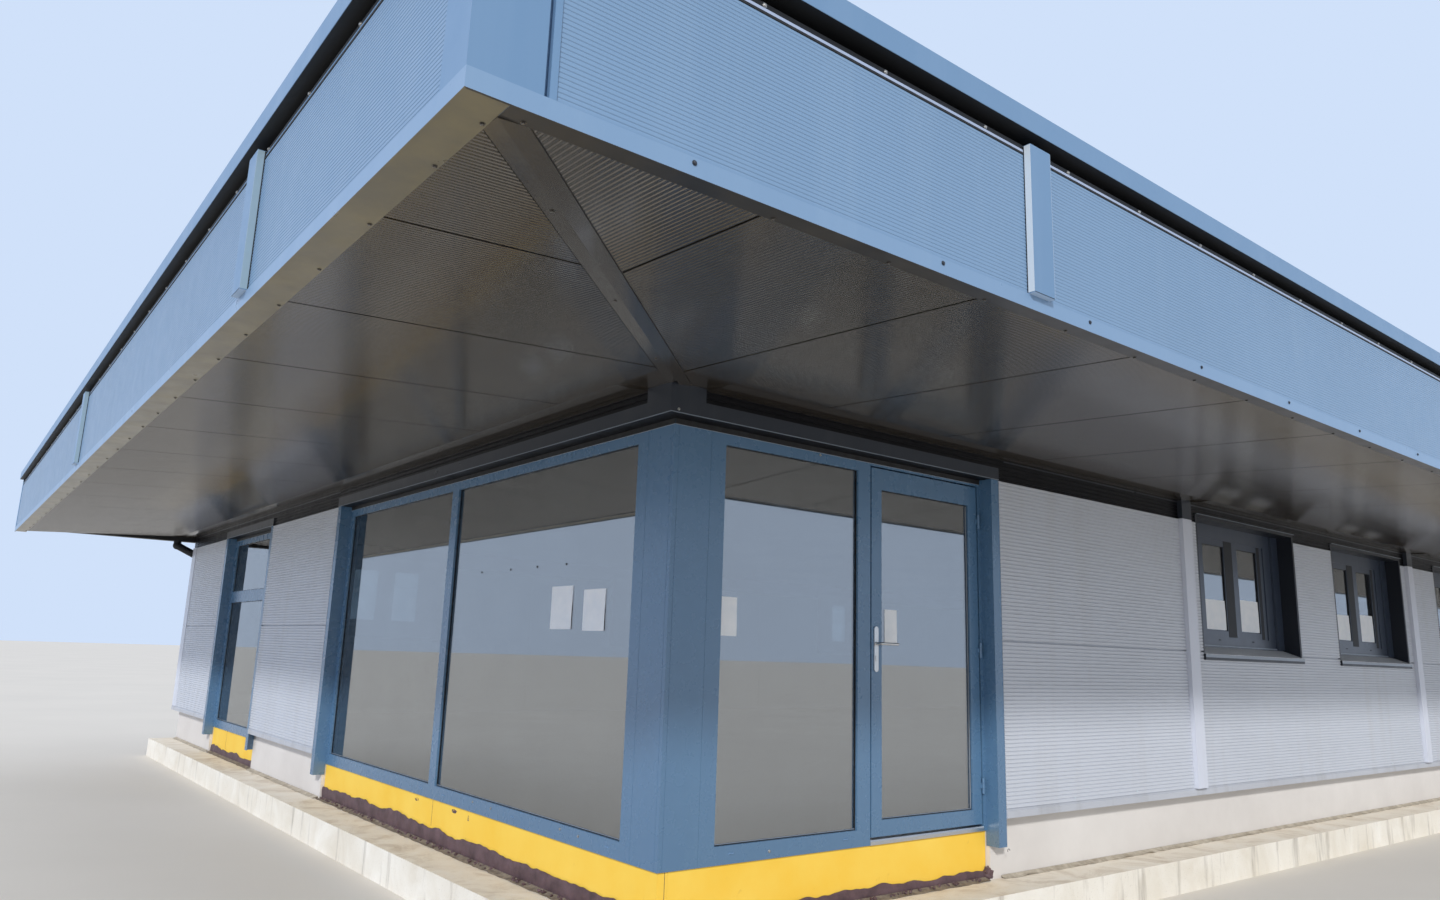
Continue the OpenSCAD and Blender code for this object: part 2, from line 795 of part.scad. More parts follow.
module corner_strip(x)
    span(x, x + strip_w, face, face + skin_t, fascia_low, coping_bottom);

module fascia_end() {
    span(canopy_end - end_plate_w, canopy_end + skin_t, face, face + skin_t,
         fascia_low, coping_bottom);
    span(canopy_end, canopy_end + skin_t, face, upstand_back, fascia_low, coping_bottom);
}

module fascia_corners() color(anthracite) {
    on_front() fascia_corner();
    on_front() translate([length, 0, 0]) mirror([1, 0, 0]) fascia_corner();
    on_front() corner_strip(groove_x + groove_w);
    on_front() corner_strip(length - groove_x - groove_w - strip_w);
    on_left() fascia_end();
    on_right() fascia_end();
}

// Drip flashing: a smooth strip up the fascia, mitred at the corners, and a leg under the
// soffit edge, a little above the foot of the strip. The side legs run through to the front,
// and the front leg stops on them.
leg_t = 3;
leg_top = soffit_z(fascia_back) - fit;
leg_x = face + side_drip_w + hair;
module strip_outline()
    translate([face, fascia_bottom]) square([skin_t, drip_h]);

module drip_leg(x0, x1, w)
    span(x0, x1, face + skin_t, face + w, leg_top - leg_t, leg_top);

module drip_front() color(anthracite) on_front() {
    mitred_front(face, face + skin_t) strip_outline();
    drip_leg(leg_x, length - leg_x, front_drip_w);
}

module drip_side() {
    mitred_side(face, face + skin_t, canopy_end) strip_outline();
    drip_leg(face + skin_t + hair, canopy_end, side_drip_w);
}

module drip_sides() color(anthracite) {
    on_left() drip_side();
    on_right() drip_side();
}

// Dark upstand behind the fascia, seen in the joint under the coping
upstand_bottom = soffit_low + soffit_t + 15;
module upstand_outline()
    translate([fascia_back, upstand_bottom]) square([upstand_t, coping_bottom - upstand_bottom]);

module upstand_front() color(black_sheet) on_front()
    mitred_front(fascia_back, upstand_back) upstand_outline();

module upstand_sides() color(black_sheet) {
    on_left() mitred_side(fascia_back, upstand_back, canopy_end) upstand_outline();
    on_right() mitred_side(fascia_back, upstand_back, canopy_end) upstand_outline();
}

// Coping with a slight fall to the roof
coping_back = upstand_back + 20;
module coping_outline()
    polygon([[face - coping_out, coping_bottom], [coping_back, coping_bottom],
             [coping_back, total_h - 12], [face - coping_out, total_h]]);

module coping_front() color(anthracite) on_front()
    mitred_front(face - coping_out, coping_back) coping_outline();

module coping_sides() color(anthracite) {
    on_left() mitred_side(face - coping_out, coping_back, canopy_end) coping_outline();
    on_right() mitred_side(face - coping_out, coping_back, canopy_end) coping_outline();
}

// Roof deck, level below and laid to a fall towards the back above
module roof_deck() color([0.55, 0.56, 0.58]) place()
    run(upstand_back, length - upstand_back)
        polygon([[upstand_back, deck_bottom], [roof_back, deck_bottom],
                 [roof_back, deck_bottom + deck_low_part * (coping_bottom - deck_bottom)],
                 [upstand_back, deck_bottom + deck_high_part * (coping_bottom - deck_bottom)]]);

// Box gutter along the back eave
gutter_t = 10;
gutter_bottom = window_top + 12;
gutter_top = deck_bottom + 80;
module gutter() color(anthracite) place() difference() {
    span(upstand_back, length - upstand_back, roof_back, canopy_end, gutter_bottom, gutter_top);
    span(upstand_back + gutter_t, length - upstand_back - gutter_t, roof_back + gutter_t,
         canopy_end - gutter_t, gutter_bottom + gutter_t, gutter_top + eps);
}

// Downpipes: an outlet under the gutter, a swan neck, and a fall down the back wall
collar = 6;
clip_h = 30;
pipe_y = depth + pipe_r + 25;
pipe_foot = 30;
outlet_y = roof_back + gutter_w / 2;
outlet_x = -300;
outlet_drop = 14;
neck_drop = 218;
fall_x = 130;
module pipe_between(a, b) {
    v = b - a;
    len_v = norm(v);
    translate(a) rotate([0, acos(v[2] / len_v), atan2(v[1], v[0])]) cylinder(r = pipe_r, h = len_v);
}

module downpipe() {
    top = [outlet_x, outlet_y, gutter_bottom];
    bend = [outlet_x, outlet_y, fascia_bottom - outlet_drop];
    neck = [fall_x, pipe_y, fascia_bottom - neck_drop];
    foot = [fall_x, pipe_y, pipe_foot];
    pipe_between(bend, top);
    pipe_between(bend, neck);
    pipe_between(foot, neck);
    for (p = [bend, neck]) translate(p) sphere(r = pipe_r + collar);
    for (z = [neck[2] - 160, cover_foot + 160]) {
        translate([fall_x, pipe_y, z]) cylinder(r = pipe_r + collar, h = clip_h);
        span(fall_x - clip_h / 2, fall_x + clip_h / 2, depth, pipe_y, z, z + clip_h);
    }
}

module downpipes() color(black_sheet) place() {
    downpipe();
    translate([length, 0, 0]) mirror([1, 0, 0]) downpipe();
}

// Door leaf with its half of the hinges
lever_x = leaf_x + 35;
lever_z = floor_top + lever_h;
spindle_r = 8;
bore_r = spindle_r + 0.1;

module across(x, z, y0, y1, r)
    translate([x, y1, z]) rotate([90, 0, 0]) cylinder(r = r, h = y1 - y0);

module door_leaf() color(anthracite) on_front() {
    difference() {
        ring(leaf_x, leaf_x + leaf_w, leaf_bottom, leaf_top, 0, leaf_t, stile_w,
             bottom_rail_h, top_rail_h);
        across(lever_x, lever_z, -eps, leaf_t + eps, bore_r);
    }
    for (z = hinge_z)
        difference() {
            union() {
                translate([hinge_x, hinge_y, z])
                    cylinder(r = knuckle_r, h = knuckle_h - 1, center = true);
                span(leaf_x + leaf_w - hinge_plate_w, hinge_x, hinge_y + hinge_plate_back, 0,
                     z - knuckle_h / 2 + 0.5, z + knuckle_h / 2 - 0.5);
            }
            translate([hinge_x, hinge_y, z])
                cylinder(r = pin_r + fit, h = 2 * knuckle_h, center = true);
        }
}

module door_glass() color(clear_glass) on_front()
    span(leaf_x + stile_w, leaf_x + leaf_w - stile_w, (leaf_t - glass_t) / 2,
         (leaf_t + glass_t) / 2, leaf_bottom + bottom_rail_h, leaf_top - top_rail_h);

// Long handle plates with round ends, outside and inside
plate_w = 35;
plate_t = 8;
plate_up = 100;
plate_down = 165;
module handle_plate(y0) difference() {
    union() {
        span(lever_x - plate_w / 2, lever_x + plate_w / 2, y0, y0 + plate_t,
             lever_z - plate_down + plate_w / 2, lever_z + plate_up - plate_w / 2);
        for (z = [lever_z - plate_down + plate_w / 2, lever_z + plate_up - plate_w / 2])
            across(lever_x, z, y0, y0 + plate_t, plate_w / 2);
    }
    across(lever_x, lever_z, y0 - eps, y0 + plate_t + eps, bore_r);
}

module door_plates() color(bare_metal) on_front() {
    handle_plate(-plate_t);
    handle_plate(leaf_t);
}

// Levers inside and outside on one spindle
bend_r = 18;
lever_out = 32;
module lever_arm() {
    across(0, 0, -lever_out, 0, spindle_r);
    translate([bend_r, -lever_out, 0]) rotate([0, 0, 180])
        rotate_extrude(angle = 90) translate([bend_r, 0]) circle(r = spindle_r);
    translate([bend_r, -lever_out - bend_r, 0]) rotate([0, 90, 0])
        cylinder(r = spindle_r, h = lever_l - bend_r);
}

module lever_handle() color(bare_metal) on_front() translate([lever_x, 0, lever_z]) {
    translate([0, -plate_t, 0]) lever_arm();
    across(0, 0, -plate_t, leaf_t + plate_t, spindle_r);
    translate([0, leaf_t + plate_t, 0]) mirror([0, 1, 0]) lever_arm();
}

footing();
floor_slab();
insulation_boards();
plinths();
corner_post();
entrance_frame();
door_head();
door_jamb();
door_threshold();
left_window_frames();
fixed_glass();
jamb_flashings();
head_flashings();
wall_front();
wall_left();
wall_right();
wall_back();
base_flashings();
grid_covers();
corner_flashings();
wall_heads();
window_surrounds();
window_frames();
window_sashes();
soffit_front();
soffit_sides();
hip_trims();
drip_front();
drip_sides();
fascia_front();
fascia_sides();
fascia_posts();
fascia_corners();
upstand_front();
upstand_sides();
coping_front();
coping_sides();
roof_deck();
gutter();
downpipes();
door_leaf();
door_glass();
door_plates();
lever_handle();
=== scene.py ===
import math
import random
import bpy
from mathutils import Matrix, Vector


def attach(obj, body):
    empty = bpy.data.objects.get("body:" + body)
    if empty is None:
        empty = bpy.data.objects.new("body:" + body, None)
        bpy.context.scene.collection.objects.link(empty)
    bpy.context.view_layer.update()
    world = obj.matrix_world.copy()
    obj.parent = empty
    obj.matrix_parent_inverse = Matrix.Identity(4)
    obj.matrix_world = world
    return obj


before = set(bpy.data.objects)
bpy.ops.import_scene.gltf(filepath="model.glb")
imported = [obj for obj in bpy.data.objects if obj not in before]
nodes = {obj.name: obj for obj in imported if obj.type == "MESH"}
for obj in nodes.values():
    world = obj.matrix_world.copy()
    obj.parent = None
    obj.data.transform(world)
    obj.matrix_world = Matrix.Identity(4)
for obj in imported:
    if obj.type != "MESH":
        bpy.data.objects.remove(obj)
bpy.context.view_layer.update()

# Places are in metres from the outer corner of the glazed frames, X along the door front and
# Y into the building. Along the other walls X runs along the wall and Y still runs inwards.
building = {
    "corner": (-10.09, -4.6115), "length": 20.18, "depth": 11.28, "panelProud": 0.0925, "overhang": 2.159,
}
corner = Vector((*building["corner"], 0))
wallPlane = -building["panelProud"]
eavePlane = -building["overhang"]
upright = math.pi / 2
eaveSides = (("front", "front"), ("left", "side"), ("right", "side"))  # both ends are built alike


def placeOn(side, x, y, z):
    length, depth = building["length"], building["depth"] - building["panelProud"]
    spots = {"front": (x, y, z), "left": (y, x, z), "right": (length - y, x, z), "back": (x, depth - y, z)}
    return Vector(spots[side]) + corner


# the camera as solved from the photograph's edges
camera = {
    "spot": (-2.952, -4.16, 1.55), "turn": 38.028, "tilt": 11.542, "roll": 1.836, "lens": 24.96,
    "sensor": 36, "near": 0.05, "far": 500,
}


def linked(name, data):
    obj = bpy.data.objects.new(name, data)
    bpy.context.collection.objects.link(obj)
    return obj


def addCamera():
    turn, tilt, roll = (math.radians(camera[k]) for k in ("turn", "tilt", "roll"))
    data = bpy.data.cameras.new("camera")
    data.lens = camera["lens"]
    data.sensor_width = camera["sensor"]
    data.sensor_fit = "HORIZONTAL"
    data.clip_start = camera["near"]
    data.clip_end = camera["far"]
    obj = linked("camera", data)
    place = Matrix.Translation(placeOn("front", *camera["spot"])) @ Matrix.Rotation(-turn, 4, "Z")
    obj.matrix_world = place @ Matrix.Rotation(upright + tilt, 4, "X") @ Matrix.Rotation(roll, 4, "Z")
    bpy.context.scene.camera = obj


addCamera()
print("camera set")


# small helpers for the materials
def asColour(value, dim=1.0):
    # three numbers up to 255 are a screen colour, one number is a grey, and four are ready for a node
    if not isinstance(value, tuple):
        return (value, value, value, 1)
    if len(value) == 4:
        return value
    steps = [c / 255 for c in value]
    return tuple(dim * (s / 12.92 if s < 0.04 else ((s + 0.055) / 1.055) ** 2.4) for s in steps) + (1,)


class NodeTree:
    def __init__(self, tree):
        self.tree = tree

    def feed(self, value, socket):
        # the output of a node is linked, and a plain value is set
        if isinstance(value, bpy.types.NodeSocket):
            self.tree.links.new(value, socket)
        else:
            socket.default_value = asColour(value) if socket.type == "RGBA" else value

    def add(self, kind, **inputs):
        node = self.tree.nodes.new("ShaderNode" + kind)
        for name, value in inputs.items():
            self.feed(value, node.inputs[name])
        return node

    def sums(self, a, b, way="ADD", clamp=False):
        node = self.add("Math")
        node.operation = way
        node.use_clamp = clamp
        self.feed(a, node.inputs[0])
        self.feed(b, node.inputs[1])
        return node.outputs[0]


class Paint(NodeTree):
    def __init__(self, name, roughness, metallic=0.0, ior=1.5):
        self.mat = bpy.data.materials.new(name)
        self.mat.use_nodes = True
        super().__init__(self.mat.node_tree)
        self.shader = self.tree.nodes["Principled BSDF"].inputs
        for socket, value in (("Roughness", roughness), ("Metallic", metallic), ("IOR", ior)):
            self.feed(value, self.shader[socket])
        self.coords = self.add("TexCoord").outputs["Object"]

    def cloud(self, scale, detail=4, rough=0.55, stretch=None, warp=0.0):
        spot = self.coords
        if stretch:
            spot = self.add("Mapping", Scale=stretch, Vector=spot).outputs["Vector"]
        node = self.add("TexNoise", Scale=scale, Detail=detail, Roughness=rough, Distortion=warp, Vector=spot)
        return node.outputs["Fac"]

    def ramp(self, fac, *stops):
        node = self.add("ValToRGB", Fac=fac)
        ends = node.color_ramp.elements
        while len(ends) < len(stops):
            ends.new(0.5)
        for end, (spot, colour) in zip(ends, stops):
            end.position = spot
            end.color = asColour(colour)
        return node.outputs["Color"]

    def mix(self, fac, a, b):
        node = self.add("Mix")
        node.data_type = "RGBA"
        for value, socket in ((fac, 0), (a, 6), (b, 7)):
            self.feed(value, node.inputs[socket])
        return node.outputs[2]

    def height(self, vector):
        return self.add("SeparateXYZ", Vector=vector).outputs["Z"]

    def lookingUp(self):
        # 1 on faces that look up, -1 on those that look down
        return self.height(self.add("NewGeometry").outputs["Normal"])

    def nearGround(self, level, steep, extra, cloud):
        # grows below the level, and the cloud breaks it up
        low = self.sums(self.sums(self.height(self.coords), -level), -steep, "MULTIPLY")
        return self.sums(self.sums(low, extra), cloud, "MULTIPLY", True)

    def colour(self, socket):
        self.feed(socket, self.shader["Base Color"])

    def rough(self, socket):
        self.feed(socket, self.shader["Roughness"])

    def bump(self, height, distance, strength=1.0):
        node = self.add("Bump", Distance=distance, Strength=strength, Height=height)
        before = self.shader["Normal"]
        if before.is_linked:
            self.feed(before.links[0].from_socket, node.inputs["Normal"])
        self.feed(node.outputs["Normal"], before)


def coatedSteel(name, colour, dusty, roughness, spread=0.1, dust=0.45, ior=1.5, below=None, peel=0.00001):
    # powder-coated sheet: faint shade changes, pale dust in streaks, fine orange peel
    p = Paint(name, roughness, ior=ior)
    base = p.mix(p.ramp(p.cloud(0.8, 3), (0.3, 0.0), (0.7, 1.0)), colour, asColour(colour, 1 - spread))
    streaks = p.cloud(3.0, 6, 0.6, (1.6, 1.6, 0.12))
    coat = p.mix(p.ramp(streaks, (0.52, 0.0), (0.78, dust)), base, dusty)
    if below:
        # painted light: faces that look down take other colours, which stand in for the shade and the ground
        # reflection that they get
        down = p.sums(p.lookingUp(), -1.0, "MULTIPLY")
        paintedUnderside = p.mix(p.ramp(streaks, (0.4, 0.0), (0.7, 1.0)), *below)
        coat = p.mix(p.ramp(down, (0.4, 0.0), (0.6, 1.0)), coat, paintedUnderside)
    p.colour(coat)
    p.rough(p.ramp(p.cloud(9.0, 5), (0.2, roughness * 0.85), (0.8, min(1, roughness * 1.25))))
    p.bump(p.cloud(420, 2), peel)
    p.bump(p.cloud(2.2, 2), 0.0006, 0.5)


# painted light: the anthracite coats are copies of one paint, blue where they stand for sky-lit faces with a
# painted sky reflection, and darker where they stand for faces in shade
coats = {
    # colour, dusty colour, roughness, spread of the colour, dust, refraction, painted underside colours of
    # shade and reflection, orange peel
    # painted reflection: the fascia and copings are blue for the sky they mirror
    "eaveSteel": ((107, 140, 174), (126, 154, 184), 0.33, 0.06, 0.3),
    # painted light: the ribs are a paler copy of the fascia paint, to undo the shade between them
    "eaveRibLightenedSteel": ((121, 151, 182), (136, 162, 188), 0.33, 0.06, 0.3),
    # painted reflection: the glazed frames are blue for the sky they mirror
    "frameSteel": ((84, 120, 153), (102, 134, 160), 0.26, 0.06, 0.25, 1.75),
    # painted shade: the window frames and sashes are a darker copy of the frame paint, for the shade of their
    # recess
    "windowSteel": ((52, 62, 78), (74, 82, 92), 0.3, 0.1, 0.45, 1.7),
    # painted shade: the window surrounds are near black, their own dark paint made darker for the shade in
    # the reveals
    "liningSteel": ((22, 27, 37), (36, 40, 47), 0.36),
    # painted shade and reflection: the soffit is a dark copy of the anthracite, warm brown for the ground it
    # mirrors
    "soffitSteel": ((54, 48, 41), (76, 66, 54), 0.17, 0.12, 0.35, 2.1, None, 0.000002),
    # painted shade: the band's own dark anthracite is made near black for the deep shade under the soffit
    "bandSteel": ((20, 20, 24), (30, 30, 32), 0.36, 0.1, 0.45, 1.25),
    # painted light: the legs are a sky-lit copy of the fascia paint, with a painted shade underneath in front
    # and a painted brown reflection of the ground underneath on the sides
    "frontLeg": ((122, 152, 184), (138, 164, 190), 0.3, 0.06, 0.3, 1.6, ((34, 33, 33), (52, 48, 43))),
    "sideLeg": ((122, 152, 184), (138, 164, 190), 0.3, 0.06, 0.3, 1.7, ((104, 98, 80), (124, 114, 84))),
    # painted shade: the head flashings are darker than their paint, for the deep shade under the soffit
    "flashingSteel": ((50, 55, 64), (68, 71, 76), 0.3),
    "panelSteel": ((202, 206, 214), (184, 182, 180), 0.4, 0.05, 0.3),
    "coverSteel": ((212, 216, 227), (197, 198, 200), 0.36, 0.04, 0.3),
    "footSteel": ((190, 193, 200), (140, 136, 130), 0.38),
    # painted highlight: the front lip is paler than its paint, for the light its edge catches
    "lipHighlightSteel": ((170, 184, 210), (156, 168, 188), 0.3),
    # painted highlight: pale for the light on the front post returns; the foot screws have this pale colour
    # of their own
    "highlightAndScrewSteel": ((202, 211, 218), (190, 198, 206), 0.3, 0.04, 0.3),
    # painted highlight: a dimmer copy of the return highlight for the side posts
    "sideHighlightSteel": ((148, 170, 182), (136, 156, 168), 0.34, 0.06, 0.3),
    # painted light: the posts' undersides are pale so that they look as lit as their faces
    "postSteel": ((107, 140, 174), (126, 154, 184), 0.33, 0.06, 0.3, 1.5, ((176, 198, 222), (186, 206, 228))),
    # painted light: near white so that the sloping sills look as lit as the light they catch
    "sillSteel": ((228, 231, 234), (204, 204, 202), 0.34, 0.05, 0.4),
    # painted highlight: a pale copy of the frame paint for the lit edges of beads, sill noses, tracks, drips
    # and head edges
    "beadHighlightSteel": ((146, 156, 168), (128, 134, 142), 0.3),
}
for matName, values in coats.items():
    coatedSteel(matName, *values)


def clouded(name, roughness, metallic, cloud, dark, pale, grain, depth, strength,
            patches=None, colour=None, *stops):
    # two shades in clouds, patches of a third colour, and a fine grain
    p = Paint(name, roughness, metallic)
    shades = p.ramp(p.cloud(*cloud), dark, pale)
    if patches:
        shades = p.mix(p.ramp(p.cloud(*patches), *stops), shades, colour)
    p.colour(shades)
    p.bump(p.cloud(*grain), depth, strength)


cloudedPaints = {
    # roughness, metallic, cloud, its two stops, grain, its depth and strength, then for patches the cloud,
    # the colour and the stops
    # black sheet, used mostly as painted shade in gaps and under the copings
    "blackSheet": (0.55, 0, (2.5, 6), (0.3, (11, 12, 14)), (0.75, (25, 26, 29)), (160, 3), 0.0004, 0.4),
    "blackRubber": (0.6, 0, (30, 5), (0.3, (22, 22, 24)), (0.75, (44, 44, 45)), (300, 3), 0.0002, 0.4),
    "screwZinc": (0.45, 1, (140, 4), (0.3, (164, 162, 158)), (0.7, (206, 204, 200)), (700, 3), 0.0001, 0.5),
    "slabConcrete": (0.7, 0, (1.1, 9, 0.6, None, 0.5), (0.3, (128, 125, 120)), (0.7, (160, 157, 152)),
                     (30, 6), 0.001, 0.4),
    "footMortar": (0.95, 0, (16, 8, 0.65), (0.3, (150, 138, 120)), (0.7, (204, 193, 174)),
                   (70, 6, 0.65), 0.004, 0.7),
    "footGrit": (0.95, 0, (22, 8, 0.7), (0.3, (92, 80, 70)), (0.7, (156, 142, 122)),
                 (90, 6, 0.65), 0.004, 0.7),
    "roofLapSheet": (0.55, 0, (2.5, 6), (0.3, (92, 94, 97)), (0.7, (112, 114, 116)), (60, 4), 0.0006, 0.4),
    "plainPaper": (0.7, 0, (12, 5), (0.3, (236, 241, 246)), (0.7, (248, 250, 252)), (220, 4), 0.0002, 0.5),
    # brush-applied coating, brown-violet where it is thin and worn
    "bitumenCoat": (0.62, 0, (9, 8, 0.65), (0.3, (70, 52, 54)), (0.7, (108, 84, 88)),
                    (60, 5, 0.6), 0.003, 0.5, (120, 5, 0.7), (150, 132, 112), (0.62, 0.0), (0.74, 0.6)),
    # welded grey membrane, with dried puddles
    "roofMembrane": (0.7, 0, (0.7, 7, 0.6), (0.3, (126, 128, 131)), (0.7, (152, 154, 156)), (60, 4), 0.001,
                     0.4, (0.35, 3, 0.5, None, 0.5), (166, 162, 154), (0.5, 0), (0.6, 0.3), (0.72, 0.08)),
}
for matName, values in cloudedPaints.items():
    clouded(matName, *values)


def steelPaint():
    # brushed stainless steel, the brushing along the upright
    p = Paint("brushedSteel", 0.3, 1.0)
    lines = p.cloud(60, 6, 0.6, (30, 30, 1.2))
    p.colour(p.ramp(lines, (0.3, (196, 196, 196)), (0.7, (224, 224, 222))))
    p.rough(p.ramp(lines, (0.25, 0.22), (0.75, 0.42)))
    p.bump(lines, 0.0002, 0.3)


def renderPaint():
    # float-finished render, with damp and splashes near the ground
    p = Paint("plinthRender", 0.9)
    base = p.ramp(p.cloud(1.3, 8, 0.6), (0.25, (208, 202, 196)), (0.75, (226, 221, 215)))
    damp = p.nearGround(0.22, 9.0, 0.85, p.cloud(6, 6, 0.65, (1, 1, 0.5)))
    p.colour(p.mix(p.ramp(damp, (0.3, 0.0), (0.75, 0.6)), base, (168, 156, 142)))
    p.bump(p.cloud(240, 4), 0.0008, 0.5)
    p.bump(p.cloud(7, 5), 0.004, 0.25)


def footingPaint():
    # shuttered concrete: sandy on top, pale cream down the face with dark runs and pits
    p = Paint("footingConcrete", 0.92)
    speck = p.cloud(90, 6, 0.7)
    patch = p.cloud(2.2, 8, 0.62, warp=0.6)
    face = p.ramp(patch, (0.3, (226, 217, 200)), (0.7, (246, 241, 230)))
    runs = p.ramp(p.cloud(5, 7, 0.65, (1.4, 1.4, 0.16)), (0.56, 0.0), (0.74, 0.7))
    face = p.mix(runs, face, (134, 122, 106))
    sand = p.cloud(3.5, 9, 0.68, warp=0.8)
    top = p.ramp(sand, (0.28, (206, 188, 164)), (0.5, (241, 230, 211)), (0.78, (250, 243, 230)))
    colour = p.mix(p.ramp(p.lookingUp(), (0.4, 0.0), (0.6, 1.0)), face, top)
    p.colour(p.mix(p.ramp(speck, (0.6, 0.0), (0.72, 0.5)), colour, (140, 128, 112)))
    p.bump(patch, 0.012, 0.35)
    p.bump(speck, 0.003, 0.6)


def boardPaint():
    # yellow foam boards: a fine skin, paler patches, small brown marks and splashes near the ground
    p = Paint("yellowBoard", 0.75)
    base = p.ramp(p.cloud(2.4, 7, 0.6), (0.25, (248, 198, 60)), (0.75, (253, 214, 92)))
    marks = p.ramp(p.cloud(14, 8, 0.7, (1, 1, 0.6), 0.8), (0.64, 0.0), (0.78, 0.5))
    splash = p.nearGround(0.28, 10.0, 0.5, p.cloud(22, 6, 0.7))
    colour = p.mix(marks, base, (184, 134, 56))
    p.colour(p.mix(p.ramp(splash, (0.4, 0.0), (0.8, 0.4)), colour, (150, 116, 70)))
    p.bump(p.cloud(500, 3), 0.0005, 0.6)
    p.bump(p.cloud(40, 4), 0.0015, 0.25)


def glassPaint():
    # coated panes that mirror strongly, with a little dust
    p = Paint("coatedGlass", 0.02, ior=3.4)
    p.feed(1.0, p.shader["Transmission Weight"])
    p.colour(p.ramp(p.cloud(1.7, 3), (0.3, (150, 162, 166)), (0.7, (164, 176, 180))))
    p.rough(p.ramp(p.cloud(5, 7, 0.65), (0.55, 0.012), (0.85, 0.06)))


for paint in (steelPaint, renderPaint, footingPaint, boardPaint, glassPaint):
    paint()

finishes = {
    "postSteel": "fascia_posts",
    "eaveSteel": "fascia_front fascia_sides fascia_corners coping_front coping_sides",
    "frontLeg": "drip_front",
    "sideLeg": "drip_sides",
    "frameSteel": "corner_post entrance_frame door_head door_jamb left_window_frames jamb_flashings "
                  "door_leaf",
    "windowSteel": "window_frames window_sashes",
    "liningSteel": "window_surrounds",
    "soffitSteel": "soffit_front soffit_sides hip_trims",
    "bandSteel": "wall_heads",
    "flashingSteel": "head_flashings",
    "panelSteel": "wall_front wall_left wall_right wall_back",
    "coverSteel": "grid_covers corner_flashings",
    "footSteel": "base_flashings",
    # painted shade: the upstands and gutter are black for the deep shade they sit in
    "blackSheet": "upstand_front upstand_sides gutter downpipes",
    "brushedSteel": "door_threshold door_plates lever_handle",
    "plinthRender": "plinths",
    "footingConcrete": "footing",
    "slabConcrete": "floor_slab",
    "yellowBoard": "insulation_boards",
    "roofMembrane": "roof_deck",
    "coatedGlass": "fixed_glass door_glass",
}
for matName, members in finishes.items():
    for member in members.split():
        obj = nodes[member]
        if not obj.material_slots:
            obj.data.materials.append(None)
        for slot in obj.material_slots:
            slot.material = bpy.data.materials[matName]
print("materials on the built parts")


# small helpers for the modelling
def objectMode():
    if bpy.context.object and bpy.context.object.mode == "EDIT":
        bpy.ops.object.mode_set(mode="OBJECT")


def nothingChosen():
    objectMode()
    bpy.ops.object.select_all(action="DESELECT")


def onlyChosen(obj):
    nothingChosen()
    obj.select_set(True)
    bpy.context.view_layer.objects.active = obj


def choose(obj, part, test):
    # back to edit mode with only the points or faces that pass the test
    bpy.ops.object.mode_set(mode="OBJECT")
    for kind in ("vertices", "edges", "polygons"):
        items = getattr(obj.data, kind)
        items.foreach_set("select", [kind == part and bool(test(item)) for item in items])
    bpy.ops.object.mode_set(mode="EDIT")
    bpy.ops.mesh.select_mode(type="VERT" if part == "vertices" else "FACE")


def choosePoints(obj, test):
    choose(obj, "vertices", lambda v: test(v.co))


def chooseFaces(obj, test):
    choose(obj, "polygons", test)


def movePoints(obj, test, move):
    choosePoints(obj, test)
    bpy.ops.transform.translate(value=move)


def applied(obj, kind, **settings):
    objectMode()
    mod = obj.modifiers.new(kind.lower(), kind)
    for key, value in settings.items():
        setattr(mod, key, value)
    bpy.context.view_layer.objects.active = obj
    bpy.ops.object.modifier_apply(modifier=mod.name)


def rounded(obj, width):
    applied(obj, "BEVEL", width=width, segments=2, limit_method="ANGLE")


def thickened(obj, thick, offset):
    applied(obj, "SOLIDIFY", thickness=thick, offset=offset)


def roughened(obj, test, offset, along, seed):
    # points are pushed about, along is the share that goes along their normals
    choosePoints(obj, test)
    bpy.ops.transform.vertex_random(offset=offset, normal=along, seed=seed)


def settled(obj):
    # place, turn and scale go into the mesh
    onlyChosen(obj)
    bpy.ops.object.transform_apply(location=True, rotation=True, scale=True)
    return obj


def joined(name, pieces, matName, body="building"):
    nothingChosen()
    for piece in pieces:
        piece.select_set(True)
    bpy.context.view_layer.objects.active = pieces[0]
    if len(pieces) > 1:
        bpy.ops.object.join()
    obj = settled(bpy.context.object)
    obj.name = obj.data.name = name
    obj.data.materials.clear()
    obj.data.materials.append(bpy.data.materials[matName])
    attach(obj, body)
    return obj


def moved(obj, spot, turn=Matrix()):
    objectMode()
    obj.data.transform(Matrix.Translation(spot) @ turn)
    return obj


def copied(obj, spot=(0, 0, 0), turn=Matrix()):
    objectMode()
    return moved(linked(obj.name, obj.data.copy()), spot, turn)


def spread(name, first, spots, matName, slot=None, body="building"):
    # a piece made once goes to every place, with its own mesh at each
    made = [copied(first, *spot) for spot in spots]
    bpy.data.objects.remove(first)
    joined(name, made, matName, body)


def box(size, spot=(0, 0, 0), radius=0, turn=(0, 0, 0)):
    nothingChosen()
    bpy.ops.mesh.primitive_cube_add(size=1, scale=size, location=spot, rotation=turn)
    obj = settled(bpy.context.object)
    if radius:
        rounded(obj, radius)
    return obj


def grid(columns, rows, width, height, spot=(0, 0, 0), tilt=0):
    nothingChosen()
    bpy.ops.mesh.primitive_grid_add(x_subdivisions=columns, y_subdivisions=rows, size=1)
    obj = bpy.context.object
    obj.scale = (width, height, 1)
    obj.rotation_euler = (tilt, 0, 0)
    obj.location = spot
    return settled(obj)


